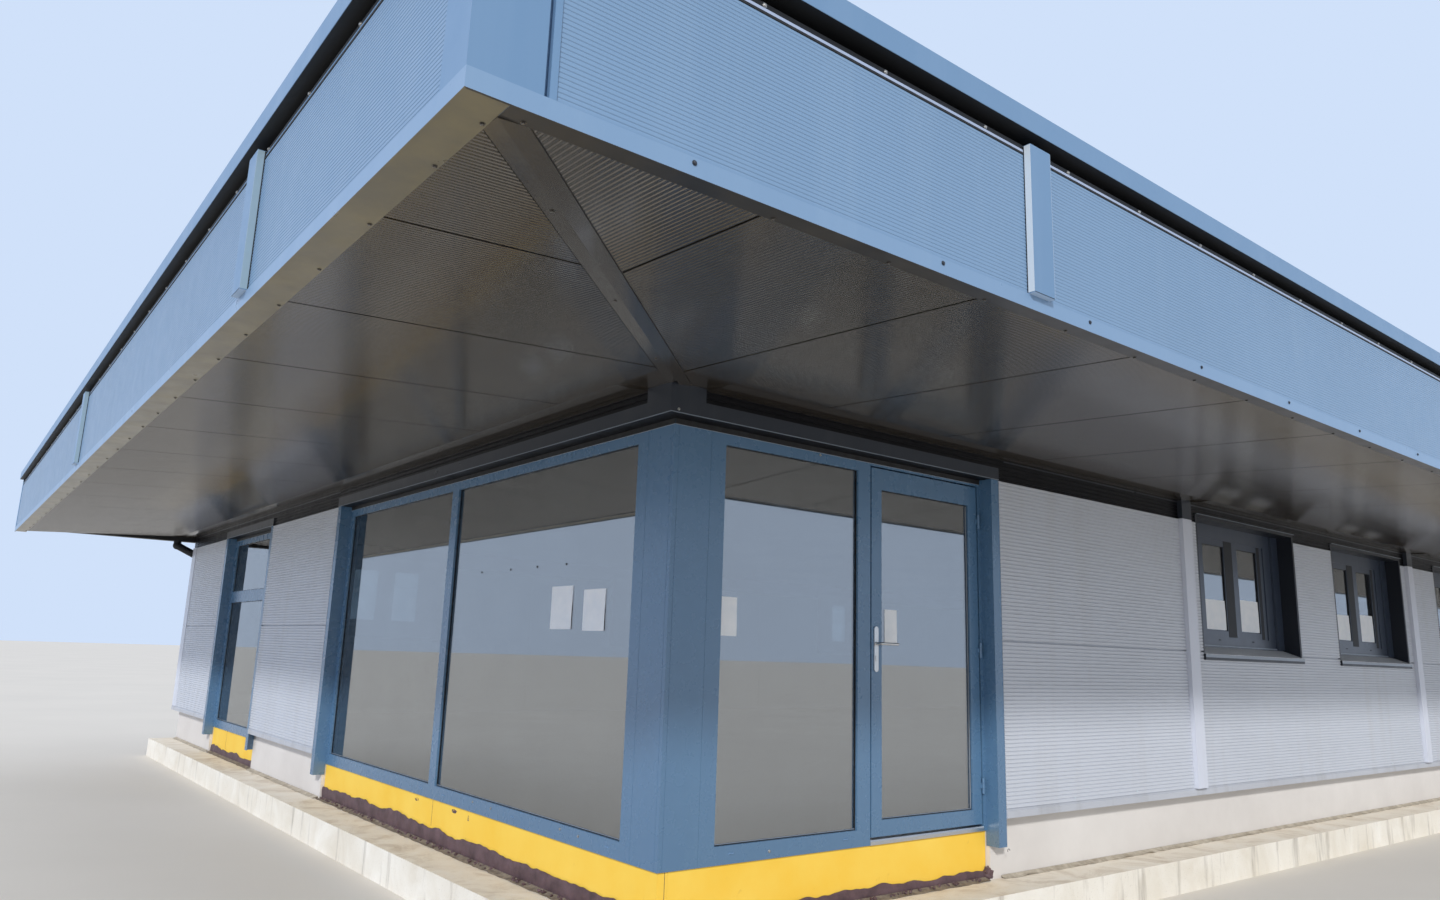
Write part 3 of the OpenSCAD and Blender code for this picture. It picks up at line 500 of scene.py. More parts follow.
def disc(sides, radius, thick, y=0):
    # a round plate that faces -Y
    nothingChosen()
    bpy.ops.mesh.primitive_cylinder_add(vertices=sides, radius=radius, depth=thick, location=(0, y, 0),
                                        rotation=(upright, 0, 0))
    return settled(bpy.context.object)


def insetFront(obj, border, move=0):
    # the face that looks along -Y gets a border, and its middle moves
    chooseFaces(obj, lambda f: f.normal.y < -0.9)
    bpy.ops.mesh.inset(thickness=border)
    if move:
        bpy.ops.transform.translate(value=(0, move, 0))


def turnedTo(obj, side, start, length, plane):
    # a sheet drawn along X and facing -Y goes on its wall
    turns = {"front": 0, "left": -90, "right": 90, "back": 180}
    first = start + length if side in ("left", "back") else start
    obj.rotation_euler = (0, 0, math.radians(turns[side]))
    obj.location = placeOn(side, first, plane, 0)
    return settled(obj)


def wallStrip(side, start, end, low, high, proud, plane):
    # a strip along a wall that stands proud of the plane, its edges rounded
    length = end - start
    strip = box((length, proud, high - low), (length / 2, -proud / 2, (low + high) / 2), proud * 0.3)
    return turnedTo(strip, side, start, length, plane)


def alongRuns(runs, pitch):
    return [start + k * pitch for start, end in runs for k in range(int((end - start) / pitch) + 1)]


# ribbed steel sheets: crest and slope are shares of the pitch, seat is how far they stand off the panel
wallSheet = {"pitch": 0.025, "proud": 0.0062, "crest": 0.62, "slope": 0.08, "thick": 0.001, "seat": 0.0015}
eaveSheet = {"pitch": 0.01368, "proud": 0.0016, "crest": 0.55, "slope": 0.16, "thick": 0.001, "seat": 0.0015}


def ribbedSheet(length, low, high, sheet, holes=()):
    # the profile is drawn as rows of a grid, four to a rib, and the two crest rows are pulled out
    count = round((high - low) / sheet["pitch"])
    obj = grid(1, count * 4, length, high - low, (length / 2, -sheet["seat"], (low + high) / 2), upright)
    pitch = (high - low) / count
    half = sheet["crest"] / 2

    def row(co):
        return (co.z - low) / pitch * 4

    movePoints(obj, lambda co: round(row(co)) % 4 in (2, 3), (0, -sheet["proud"], 0))
    # row 1 is the foot of the lower slope, 2 its head, and 3 the head of the upper slope
    for k, share in ((1, 0.5 - half - sheet["slope"]), (2, 0.5 - half), (3, 0.5 + half)):
        movePoints(obj, lambda co: abs(row(co) % 4 - k) < 0.01, (0, 0, (share - k / 4) * pitch))
    for x0, x1, z0, z1 in holes:
        cuts = [((x, 0, 0), (1, 0, 0)) for x in (x0, x1) if 0 < x < length]
        cuts += [((0, 0, z), (0, 0, 1)) for z in (z0, z1) if low < z < high]
        for spot, normal in cuts:
            bpy.ops.mesh.select_all(action="SELECT")
            bpy.ops.mesh.bisect(plane_co=spot, plane_no=normal)
        chooseFaces(obj, lambda f: x0 < f.center.x < x1 and z0 < f.center.z < z1)
        bpy.ops.mesh.delete(type="FACE")
    thickened(obj, sheet["thick"], -1)
    return obj


walls = {
    "panels": [(0.644, 1.689), (1.699, 2.7545)],
    "front": [(2.616, 5.014), (5.166, 10.014), (10.166, 15.014), (15.166, 20.072)],
    "left": [(5.111, 7.269), (9.367, 11.079)],
    "right": [(0.109, 11.079)],
    "back": [(0.109, 5.014), (5.166, 10.014), (10.166, 15.014), (15.166, 20.071)],
    "window": (1.87, 1.628, 2.83),  # width, foot and head of each opening
    "windows": {
        "front": [5.292, 8.018, 10.93, 17.38],
        "left": [],
        "right": [2.6, 6.7175],
        "back": [1.655, 6.655, 11.655, 16.655],
    },
}
windowPlaces = [(side, x) for side in ("front", "right", "back") for x in walls["windows"][side]]


def wallRibs(side):
    width, foot, head = walls["window"]
    made = []
    for start, end in walls[side]:
        # the sheets of the back are turned round, so their holes count from the other end
        places = [x for x in walls["windows"][side] if start < x < end]
        places = [end - x - width if side == "back" else x - start for x in places]
        holes = [(x, x + width, foot, head) for x in places]
        for low, high in walls["panels"]:
            sheet = ribbedSheet(end - start, low, high, wallSheet, holes)
            made.append(turnedTo(sheet, side, start, end - start, wallPlane))
    joined("wallRibs" + side.capitalize(), made, "panelSteel")


for side in ("front", "left", "right", "back"):
    wallRibs(side)
print("ribbed wall sheets made")

# eave sheets, and above them a black strip of painted shade, a lip and a black flange of painted shade in the
# gap
eaves = {
    "low": 2.8535, "high": 3.3955, "plane": eavePlane + 0.008,
    "front": [(-1.924, -0.0035), (0.1235, 5.0115), (5.1385, 10.0265), (10.1535, 15.0415), (15.1685, 20.0565),
              (20.1835, 22.104)],
    "side": [(-2.003, -0.1835), (-0.0565, 5.0015), (5.1285, 11.351)],
    # foot, head, and how far it stands proud
    "shadeStrip": (3.3955, 3.404, 0.0055), "lip": (3.404, 3.416, 0.003), "shadeFlange": (3.416, 3.434, 0.0014),
}
for side, kind in eaveSides:
    sheets, shadeStrips, lips, flangeShades = [], [], [], []
    for start, end in eaves[kind]:
        sheet = ribbedSheet(end - start, eaves["low"], eaves["high"], eaveSheet)
        sheets.append(turnedTo(sheet, side, start, end - start, eaves["plane"]))
        for part, made in (("shadeStrip", shadeStrips), ("lip", lips), ("shadeFlange", flangeShades)):
            made.append(wallStrip(side, start, end, *eaves[part], eaves["plane"]))
    joined("eaveRibs" + side.capitalize(), sheets, "eaveRibLightenedSteel")
    # painted shade: black under the lip, and black in the gap above it
    joined("eaveShadeStrip" + side.capitalize(), shadeStrips, "blackRubber")
    # the painted highlight goes on the front lip only
    lipPaint = "lipHighlightSteel" if side == "front" else "eaveSteel"
    joined("eaveLip" + side.capitalize(), lips, lipPaint)
    joined("eaveShadeFlange" + side.capitalize(), flangeShades, "blackSheet")
print("ribbed eave sheets made")

# painted shade: a black sheet under the copings, so that the open joint looks shaded up to their lower edge
copingShade = {"outer": -2.1955, "inner": -2.1, "back": 11.405, "low": 3.4686, "high": 3.4698, "seam": 0.0005}


def jointShadeSheet():
    outer, inner, length = copingShade["outer"], copingShade["inner"], building["length"]
    thick, behind = copingShade["high"] - copingShade["low"], inner + copingShade["seam"]
    made = []
    for x0, x1, y0, y1 in ((outer, length - outer, outer, inner), (outer, inner, behind, copingShade["back"]),
                           (length - inner, length - outer, behind, copingShade["back"])):
        middle = Vector(((x0 + x1) / 2, (y0 + y1) / 2, (copingShade["low"] + copingShade["high"]) / 2))
        made.append(box((x1 - x0, y1 - y0, thick), middle + corner, thick * 0.25))
    joined("jointShadeSheet", made, "blackSheet")


jointShadeSheet()
print("joint under the copings lined")

# soffit panels: one is made, copied to every place between the joints, and cut along the hips
soffit = {
    "joint": 0.01, "pitch": 1.01, "ribs": 56, "proud": 0.0012, "seat": 0.0012, "thick": 0.001,
    "low": 2.805, "high": 2.915, "frontEdge": -2.077, "sideEdge": -2.035, "inner": -0.3,
    "hipShift": 0.042, "hipHalf": 0.0849, "hipSeam": 0.006, "hipEnd": 0.2, "frontStart": -1.2,
    "sideStart": -1.3, "sideEnd": building["depth"] + 0.01, "narrowest": 0.05,
}


def soffitHeight(y):
    return soffit["low"] + (soffit["high"] - soffit["low"]) * (y - eavePlane) / (wallPlane - eavePlane)


def soffitPanel(edge):
    width, depth = soffit["pitch"] - soffit["joint"], soffit["inner"] - edge
    obj = grid(soffit["ribs"] * 4, 1, width, depth, (width / 2, edge + depth / 2, -soffit["seat"]), math.pi)
    step = width / soffit["ribs"] / 4
    movePoints(obj, lambda co: round(co.x / step) % 4 in (2, 3), (0, 0, -soffit["proud"]))
    movePoints(obj, lambda co: co.y < edge + 0.01, (0, 0, soffitHeight(edge)))
    movePoints(obj, lambda co: co.y > edge + 0.01, (0, 0, soffitHeight(soffit["inner"])))
    thickened(obj, soffit["thick"], -1)
    return obj


def cutAway(obj, spot, normal):
    # everything on the side that the normal points to goes, and the cut is closed
    onlyChosen(obj)
    bpy.ops.object.mode_set(mode="EDIT")
    bpy.ops.mesh.select_all(action="SELECT")
    bpy.ops.mesh.bisect(plane_co=spot, plane_no=normal, clear_outer=True, use_fill=True)
    objectMode()


def soffitRibs(side, edge, start, end, shift):
    first = soffitPanel(edge)
    pitch, half, length = soffit["pitch"], soffit["joint"] / 2, building["length"]
    hip = Vector((shift + soffit["hipHalf"] + soffit["hipSeam"], 0, 0))
    made = []
    for x in alongRuns([(start - pitch, end)], pitch):
        if min(x + pitch - half, end) - max(x + half, edge) > soffit["narrowest"]:
            piece = copied(first, (x + half, 0, 0))
            if x + pitch > end:
                cutAway(piece, (end, 0, 0), (1, 0, 0))
            # on the hip the sheet stops at the edge of the trim
            if x < soffit["hipEnd"]:
                cutAway(piece, hip, (-1, 1, 0))
            if side == "front" and x + pitch > length - soffit["hipEnd"]:
                cutAway(piece, Vector((length, 0, 0)) - hip, (1, 1, 0))
            if len(piece.data.vertices):
                made.append(piece)
            else:
                bpy.data.objects.remove(piece)
    bpy.data.objects.remove(first)
    ribs = joined("soffitRibs" + side.capitalize(), made, "soffitSteel")
    zero = placeOn(side, 0, 0, 0)
    axes = [placeOn(side, *axis) - zero for axis in ((1, 0, 0), (0, 1, 0), (0, 0, 1))]
    moved(ribs, zero, Matrix(axes).transposed().to_4x4())
    if side == "left":
        ribs.data.flip_normals()  # X and Y changed places, which mirrors the sheet


frontEnd = building["length"] - soffit["frontEdge"]
soffitRibs("front", soffit["frontEdge"], soffit["frontStart"], frontEnd, soffit["hipShift"])
for side in ("left", "right"):
    soffitRibs(side, soffit["sideEdge"], soffit["sideStart"], soffit["sideEnd"], -soffit["hipShift"])
print("ribbed soffit sheets made")

# fasteners: a washer with a low domed head, neck and crown are shares of the head
fastener = {
    "washer": 0.0082, "washerThick": 0.0016, "head": 0.0055, "headHigh": 0.0044, "neck": 0.7,
    "crown": 0.4, "sides": 10,
}
outward = {"front": (0, -1, 0), "left": (-1, 0, 0), "right": (1, 0, 0), "back": (0, 1, 0)}
downward = (0, 0, -1)


def fastenerShape():
    size = fastener
    obj = disc(size["sides"], size["washer"], size["washerThick"], -size["washerThick"] / 2)
    insetFront(obj, size["washer"] - size["head"])
    neck = size["headHigh"] * size["neck"]
    bpy.ops.mesh.extrude_region_move(TRANSFORM_OT_translate={"value": (0, -neck, 0)})
    bpy.ops.mesh.inset(thickness=size["head"] * size["crown"])
    bpy.ops.transform.translate(value=(0, neck - size["headHigh"], 0))
    return obj


def fastened(name, spots, matName):
    # each spot is a place on a face and the way that the face looks
    turned = [(spot, Vector(out).to_track_quat("-Y", "Z").to_matrix().to_4x4()) for spot, out in spots]
    spread(name, fastenerShape(), turned, matName, "bare_metal")


def screwRows(name, matName, pitch, height, rows, down=False):
    # each row is a side, the plane of the heads and the runs along it
    spots = [(placeOn(side, x, plane, height), downward if down else outward[side])
             for side, plane, runs in rows for x in alongRuns(runs, pitch)]
    fastened(name, spots, matName)


def onEnds(plane, runs):
    return [("left", plane, runs), ("right", plane, runs)]


lipPlane = eaves["plane"] - eaves["shadeFlange"][2]
lipRuns = [(-1.79, -0.1), (0.291, 4.95), (5.291, 9.95), (10.291, 14.95), (15.291, 20), (20.4, 22)]
lipRows = [("front", lipPlane, lipRuns), *onEnds(lipPlane, [(-1.786, -0.2), (0.28, 4.95), (5.28, 11.3)])]
screwRows("lipScrews", "screwZinc", 0.5215, 3.4245, lipRows)

# painted shade: a black strip for the shaded gap along one side of each hip trim
hipGap = {
    "start": -2.04, "end": -0.33, "wide": 0.006, "thick": 0.0012, "drop": 0.0022, "beside": 0.003,
    "radius": 0.0003,
}


def hipShadeStrip():
    low, high = soffitHeight(hipGap["start"]), soffitHeight(hipGap["end"])
    run = Vector((hipGap["end"] - hipGap["start"],) * 2 + (high - low,))
    middle = (hipGap["start"] + hipGap["end"]) / 2
    across = middle + soffit["hipShift"] + soffit["hipHalf"] + hipGap["beside"]
    spot = (across, middle, (low + high) / 2 - hipGap["drop"])
    turn = run.to_track_quat("X", "Z").to_euler()
    return box((run.length, hipGap["wide"], hipGap["thick"]), spot, hipGap["radius"], turn)


first = hipShadeStrip()
mirrored = copied(first, (building["length"], 0, 0), Matrix.Diagonal((-1, 1, 1, 1)))
mirrored.data.flip_normals()
joined("hipGapShades", [moved(first, corner), moved(mirrored, corner)], "blackSheet")

screwRows("faceScrews", "flashingSteel", 0.866, 2.836, [("front", eavePlane, [(-1.505, -1.4), (-0.478, 22)])])
legRows = [("front", -2.092, [(-1.976, -1.5), (-1.165, 22.1)])]
legRows += onEnds(-2.05, [(-2.02, -1.9), (-1.729, 11.3)])
screwRows("legScrews", "soffitSteel", 0.497, 2.8051, legRows, True)

hipScrews = {"places": (-1.656, -1.05, -0.44), "drop": 0.0066}
spots = []
for y in hipScrews["places"]:
    for x in (y, building["length"] - y):
        spots.append((placeOn("front", x, y, soffitHeight(y) - hipScrews["drop"]), downward))
fastened("hipScrews", spots, "soffitSteel")

footStarts = {"front": 0.764, "left": 0.25, "right": 0.25, "back": 0.25}
footRows = [(side, wallPlane - wallSheet["proud"], [(start + first, end - 0.1) for start, end in walls[side]])
            for side, first in footStarts.items()]
screwRows("footScrews", "highlightAndScrewSteel", 0.793, 0.668, footRows)

looseScrews = [("front", -0.055, wallPlane - 0.01, 2.775)]
looseScrews += [("front", x, 0, z) for x, z in ((1.05, 2.712), (0.713, 0.548))]
looseScrews += [("left", x, 0, z)
                for x, z in ((2.065, 0.574), (1.802, 0.569), (0.942, 0.574), (0.744, 0.566))]
fastened("looseScrews", [(placeOn(side, *spot), outward[side]) for side, *spot in looseScrews], "screwZinc")
print("screws set")

# painted light: pale returns on the sides of the fascia posts as painted highlights, with black strips of
# painted shade behind them and under the face
postReturns = {
    "low": 2.856, "high": 3.428, "deep": 0.026, "plane": eavePlane + 0.001, "gapDeep": 0.006,
    "gapPlane": eavePlane + 0.007, "thick": 0.0012, "half": 0.0625, "radius": 0.0004,
    # the foot is a dark line of painted shade under the post face
    "foot": (2.854, 2.8566, 0.0006, eavePlane - 0.025),  # foot, head, proud of the plane, plane
    "footHalf": 0.0605, "front": [0.06, 5.075, 10.09, 15.105, 20.12], "side": [-0.12, 5.065],
}


def postReturn(deep):
    low, high, thick = (postReturns[k] for k in ("low", "high", "thick"))
    return box((thick, deep, high - low), (0, -deep / 2, (low + high) / 2), postReturns["radius"])


def addReturns():
    size = postReturns
    frontReturnHighlights, sideReturnHighlights, gapShades = [], [], []
    for side, kind in eaveSides:
        made = frontReturnHighlights if side == "front" else sideReturnHighlights
        for x in size[kind]:
            for edge in (-1, 1):
                spot = x + edge * (size["half"] + size["thick"] / 2)
                made.append(turnedTo(postReturn(size["deep"]), side, spot, 0, size["plane"]))
                gapShades.append(turnedTo(postReturn(size["gapDeep"]), side, spot, 0, size["gapPlane"]))
            gapShades.append(wallStrip(side, x - size["footHalf"], x + size["footHalf"], *size["foot"]))
    joined("postReturns", frontReturnHighlights, "highlightAndScrewSteel")
    joined("sideReturnHighlights", sideReturnHighlights, "sideHighlightSteel")
    joined("postGapShades", gapShades, "blackSheet")


addReturns()

# black gaskets round the panes, lying on the outer face of the glass
gasket = {"wide": 0.0045, "thick": 0.0035, "radius": 0.0008}


def gasketRing(width, height):
    obj = grid(1, 1, width, height, tilt=upright)
    chooseFaces(obj, lambda f: True)
    bpy.ops.mesh.inset(thickness=gasket["wide"], use_even_offset=True)
    chooseFaces(obj, lambda f: abs(f.center.x) < 0.001 and abs(f.center.z) < 0.001)
    bpy.ops.mesh.delete(type="FACE")
    thickened(obj, gasket["thick"], 1)
    rounded(obj, gasket["radius"])
    return obj


fixedFace, sashFace, doorFace = 0.021, 0.0785, 0.018  # depths of the outer faces of the glass
sashPanes = {"edges": [(0.426, 0.807), (1.063, 1.444)], "low": 1.886, "high": 2.629}
panes = {
    # side, first edge, last edge, foot, head, depth of the outer face
    "building": [
        ("front", 0.345, 1.37, 0.6, 2.665, fixedFace),
        ("left", 0.34, 2.687, 0.6, 2.665, fixedFace),
        ("left", 2.795, 4.955, 0.6, 2.665, fixedFace),
        ("left", 7.44, 9.196, 0.6, 1.975, fixedFace),
        ("left", 7.44, 9.196, 2.105, 2.665, fixedFace),
    ],
    "door": [("front", 1.573, 2.409, 0.642, 2.57, doorFace)],
}
for side, x in windowPlaces:
    for first, last in sashPanes["edges"]:
        panes["building"].append((side, x + first, x + last, sashPanes["low"], sashPanes["high"], sashFace))


def onPanes(places, shape, lift):
    # one sheet on each pane or place, its middle moved to the middle of the place
    made = []
    for side, first, last, low, high, depth in places:
        sheet = moved(shape(last - first, high - low), ((last - first) / 2, -lift, (low + high) / 2))
        made.append(turnedTo(sheet, side, first, last - first, depth))
    return made


for body, name in (("building", "paneGaskets"), ("door", "doorGasket")):
    joined(name, onPanes(panes[body], gasketRing, gasket["thick"] / 2), "blackRubber", body=body)

# painted highlights: pale glazing beads along the feet of the fixed panes, and beside the door glass, where
# the light catches them
bead = {"high": 0.0036, "proud": 0.0055, "lift": 0.0046, "end": 0.005, "sideLow": 0.01, "sideHigh": 0.006}
for body, name in (("building", "paneBeadHighlights"), ("door", "doorBeadHighlights")):
    made = []
    for side, first, last, low, high, depth in panes[body]:
        if depth != sashFace:
            foot = low + bead["lift"]
            start, end, head = first + bead["end"], last - bead["end"], foot + bead["high"]
            made.append(wallStrip(side, start, end, foot, head, bead["proud"], depth))
        if body == "door":
            end, foot, head = last - bead["lift"], low + bead["sideLow"], high - bead["sideHigh"]
            made.append(wallStrip(side, end - bead["high"], end, foot, head, bead["proud"], depth))
    joined(name, made, "beadHighlightSteel", body=body)
print("gaskets and beads fitted")

# painted light: pale sheets on the sloping sills, and the tracks above them and the drips over the windows as
# pale lines of painted highlight
sill = {
    "front": wallPlane - 0.025, "back": 0.056, "low": 1.676, "high": 1.7394, "fold": 0.002,
    "thick": 0.0012,
    # foot, head, how far it stands proud of the plane, and the plane
    "nose": (1.65, 1.673, 0.0012, wallPlane - 0.025), "track": (1.747, 1.759, 0.009, 0.0575),
    "trackIn": 0.16, "drip": (2.8255, 2.83, 0.0012, wallPlane - 0.022),
    "shadeStrip": (1.834, 2.682, 0.002, 0.0655), "shadeStrips": [(0.816, 0.966), (1.456, 1.51)],
}


def sillSheet(width):
    # the sloping sheet, with a short fold down over the nose
    middle = (sill["front"] + sill["back"]) / 2
    obj = grid(1, 1, width, sill["back"] - sill["front"], (width / 2, middle, sill["low"]))
    movePoints(obj, lambda co: co.y > 0, (0, 0, sill["high"] - sill["low"]))
    choosePoints(obj, lambda co: co.y < 0)
    bpy.ops.mesh.extrude_region_move(TRANSFORM_OT_translate={"value": (0, 0, -sill["fold"])})
    chooseFaces(obj, lambda f: True)
    bpy.ops.mesh.normals_make_consistent(inside=False)
    objectMode()
    slope = max(obj.data.polygons, key=lambda f: abs(f.normal.z))
    thickened(obj, sill["thick"], 1 if slope.normal.z > 0 else -1)
    return obj


sills, noses, tracks, shadeStrips = [], [], [], []
for side, x in windowPlaces:
    width = walls["window"][0]
    end = x + width
    sills.append(turnedTo(sillSheet(width), side, x, width, 0))
    noses.append(wallStrip(side, x, end, *sill["nose"]))
    tracks.append(wallStrip(side, x + sill["trackIn"], end - sill["trackIn"], *sill["track"]))
    tracks.append(wallStrip(side, x, end, *sill["drip"]))
    # painted shade: black strips for the shade between the meeting stiles and beside the sashes
    shadeStrips += [wallStrip(side, x + first, x + last, *sill["shadeStrip"]) for first, last in sill["shadeStrips"]]
joined("sillSheets", sills, "sillSteel")
joined("sillNoses", noses, "beadHighlightSteel")
joined("windowTracks", tracks, "beadHighlightSteel")
joined("sashShadeStrips", shadeStrips, "blackSheet")
print("sills, tracks, drips and seals laid")

# narrow angle between the dark band and the soffit
headTrim = {
    "size": (2.889, 2.896, 0.004, wallPlane),  # foot, head, proud of the plane, plane
    "runs": [("front", 2.68, 5.005), ("front", 5.175, 10.005), ("front", 10.175, 15.005),
             ("front", 15.175, 20.27), ("left", 5.1, 11.079), ("right", 0, 11.079)],
}
joined("headTrims", [wallStrip(*run, *headTrim["size"]) for run in headTrim["runs"]], "flashingSteel")

# painted light: pale lower edges of the head flashings and pale strips on the frame heads as painted
# highlights, and a black strip of painted shade between them and the frames
headEdge = {
    "flashing": (2.757, 2.7605, 0.0012, -0.1025), "shadeStrip": (2.726, 2.755, 0.003, 0),
    "strip": (2.7225, 2.7255, 0.0042, 0),
    "flashings": [("front", -0.1025, 2.615), ("left", -0.1025, 5.11), ("left", 7.27, 9.366)],
    "heads": [("front", 0, 2.535), ("left", 0, 5.03), ("left", 7.35, 9.286)],
}
edges = [wallStrip(*run, *headEdge["flashing"]) for run in headEdge["flashings"]]
edges += [wallStrip(*run, *headEdge["strip"]) for run in headEdge["heads"]]
joined("headEdgeHighlights", edges, "beadHighlightSteel")
joined("headShadeStrips", [wallStrip(*run, *headEdge["shadeStrip"]) for run in headEdge["heads"]], "blackRubber")

# strips pressed into the grooves of the corner post, which leave two fine lines
grooves = {"places": (0.0243, 0.2403), "wide": 0.0034, "size": (0.5105, 2.722, 0.0026, 0.003)}
made = [wallStrip(side, x, x + grooves["wide"], *grooves["size"])
        for side in ("front", "left") for x in grooves["places"]]
joined("grooveStrips", made, "frameSteel")
print("head trims set")

# drain caps on the bottom rails, tapered to the front and open below
drainCap = {
    "long": 0.034, "high": 0.009, "proud": 0.005, "taper": (0.86, 1, 0.6), "border": 0.001,
    "deep": 0.0015, "radius": 0.0004, "front": [(0.455, 0.56), (1.277, 0.56)],
    "left": [(y, 0.557) for y in (0.456, 1.515, 2.529, 2.912, 3.982, 4.86, 7.56, 9.07)],
    "windowHeight": 1.806, "windowPlaces": (0.62, 1.25),
}


def drainCapShape():
    obj = box((drainCap["long"], drainCap["proud"], drainCap["high"]), (0, -drainCap["proud"] / 2, 0))
    chooseFaces(obj, lambda f: f.normal.y < -0.9)
    bpy.ops.transform.resize(value=drainCap["taper"])
    chooseFaces(obj, lambda f: f.normal.z < -0.5)
    bpy.ops.mesh.inset(thickness=drainCap["border"])
    bpy.ops.transform.translate(value=(0, 0, drainCap["deep"]))
    rounded(obj, drainCap["radius"])
    return obj


firstCap = drainCapShape()
made = [turnedTo(copied(firstCap, (0, 0, z)), side, x, 0, 0)
        for side in ("front", "left") for x, z in drainCap[side]]
darkCaps = [turnedTo(copied(firstCap, (0, 0, drainCap["windowHeight"])), side, x + along, 0, sill["track"][3])
            for side, x in windowPlaces for along in drainCap["windowPlaces"]]
bpy.data.objects.remove(firstCap)
joined("drainCaps", made, "eaveSteel")
joined("windowCaps", darkCaps, "blackRubber")

# plain papers on some panes, their lower corners a little loose
paper = {
    "columns": 6, "rows": 8, "thick": 0.0004, "seat": 0.0006,
    "lifts": [(1 / 6, 0.0006), (2 / 6, 0.0016)],  # share of the way to the loose corner, and how far it lifts
    "loose": 1.55,
}
papers = {
    # side, first edge, last edge, foot, head, depth of the outer face
    "building": [
        ("front", 0.357, 0.466, 1.645, 1.849, fixedFace),
        ("left", 0.99, 1.24, 1.664, 1.916, fixedFace),
        ("left", 0.628, 0.864, 1.655, 1.888, fixedFace),
    ],
    "door": [("front", 1.617, 1.725, 1.647, 1.845, doorFace)],
}


for x in walls["windows"]["front"][:2]:
    for first, head in ((0.436, 2.15), (1.073, 2.175)):
        papers["building"].append(("front", x + first, x + first + 0.361, 1.894, head, sashFace))


def paperSheet(width, height):
    obj = grid(paper["columns"], paper["rows"], width, height, tilt=upright)
    for share, lift in paper["lifts"]:
        movePoints(obj, lambda co: co.x - co.z > share * (width + height) / paper["loose"], (0, -lift, 0))
    thickened(obj, paper["thick"], 1)
    return obj


for body, name in (("building", "panePapers"), ("door", "doorPaper")):
    joined(name, onPanes(papers[body], paperSheet, paper["seat"]), "plainPaper", body=body)

# small round marks on the long pane
paneDots = {
    "height": 2.046, "places": (2.24, 1.81, 1.45, 1.089), "radius": 0.007, "thick": 0.002, "sides": 14,
    "border": 0.0014, "dome": 0.0006,
}
made = []
for y in paneDots["places"]:
    dot = disc(paneDots["sides"], paneDots["radius"], paneDots["thick"])
    insetFront(dot, paneDots["border"], -paneDots["dome"])
    moved(dot, (0, -paneDots["thick"] / 2, paneDots["height"]))
    made.append(turnedTo(dot, "left", y, 0, fixedFace))
joined("paneDots", made, "blackRubber")
print("caps and papers set")

# brushed-on bitumen at the foot of the yellow boards, with a wavy upper edge
bitumen = {
    "face": 0.01, "seat": 0.009, "thick": 0.01, "step": 0.03, "low": 0.222,
    "band": (0.23, 0.03),  # the swollen band starts at this height and ends this far below the upper edge
    "swell": 0.004, "sway": 0.01, "keep": 0.82, "worn": 0.004,
    "runs": [
        # side, start, end, mean height of the upper edge, seed
        ("left", 0.012, 5.052, 0.327, 3),
        ("front", 0.012, 2.545, 0.284, 8),
        ("left", 7.352, 9.284, 0.3, 5),
    ],
}


def bitumenStrip(length, low, high, seed):
    # columns of a grid, whose heads follow a slow random wave
    rand = random.Random(seed)
    columns = int(length / bitumen["step"])
    obj = grid(columns, 3, length, high - low, (length / 2, 0, (low + high) / 2), upright)
    lift = 0
    for k in range(columns + 1):
        lift = bitumen["keep"] * lift + rand.uniform(-bitumen["sway"], bitumen["sway"])
        movePoints(obj, lambda co: round(co.x / length * columns) == k and co.z > high - 0.002, (0, 0, lift))
    foot, below = bitumen["band"]
    movePoints(obj, lambda co: foot < co.z < high - below, (0, -bitumen["swell"], 0))
    thickened(obj, bitumen["thick"], 1)
    roughened(obj, lambda co: co.y < -bitumen["thick"] * 0.5, bitumen["worn"], 0.6, seed)
    applied(obj, "SUBSURF", levels=1, render_levels=1)
    return obj


made = []
for side, start, end, top, seed in bitumen["runs"]:
    strip = bitumenStrip(end - start, bitumen["low"], top, seed)
    made.append(turnedTo(strip, side, start, end - start, bitumen["seat"]))


def lumpShape(subdivisions, size, wear, along, seed):
    # a ball whose points are pushed about
    nothingChosen()
    bpy.ops.mesh.primitive_ico_sphere_add(subdivisions=subdivisions, radius=1)
    obj = bpy.context.object
    obj.scale = size
    settled(obj)
    roughened(obj, lambda co: True, wear, along, seed)
    objectMode()
    return obj


# crumbs of the coating at its foot, one lump made once and scattered
crumbs = {
    "count": 260, "size": (0.006, 0.015), "flat": (1, 0.8, 0.7), "seed": 21, "low": 0.231,
    "plane": bitumen["face"] - 0.014, "scatter": 0.034,
    "runs": [("left", 0.02, 5.04), ("front", 0.02, 2.5)],
}
crumb = lumpShape(1, (1, 1, 1), 0.45, 0.5, 6)
rand = random.Random(crumbs["seed"])
for k in range(crumbs["count"]):
    side, start, end = crumbs["runs"][0 if k % 3 else 1]
    size = rand.uniform(*crumbs["size"])
    x, out = rand.uniform(start, end), rand.random() ** 2 * crumbs["scatter"]
    spot = placeOn(side, x, crumbs["plane"] - out, crumbs["low"] + size * 0.3)
    turn = Matrix.Rotation(rand.uniform(0, 6.28), 4, "Z") @ Matrix.Rotation(rand.uniform(0, 6.28), 4, "X")
    made.append(copied(crumb, spot, turn @ Matrix.Diagonal((*(size * share for share in crumbs["flat"]), 1))))
bpy.data.objects.remove(crumb)

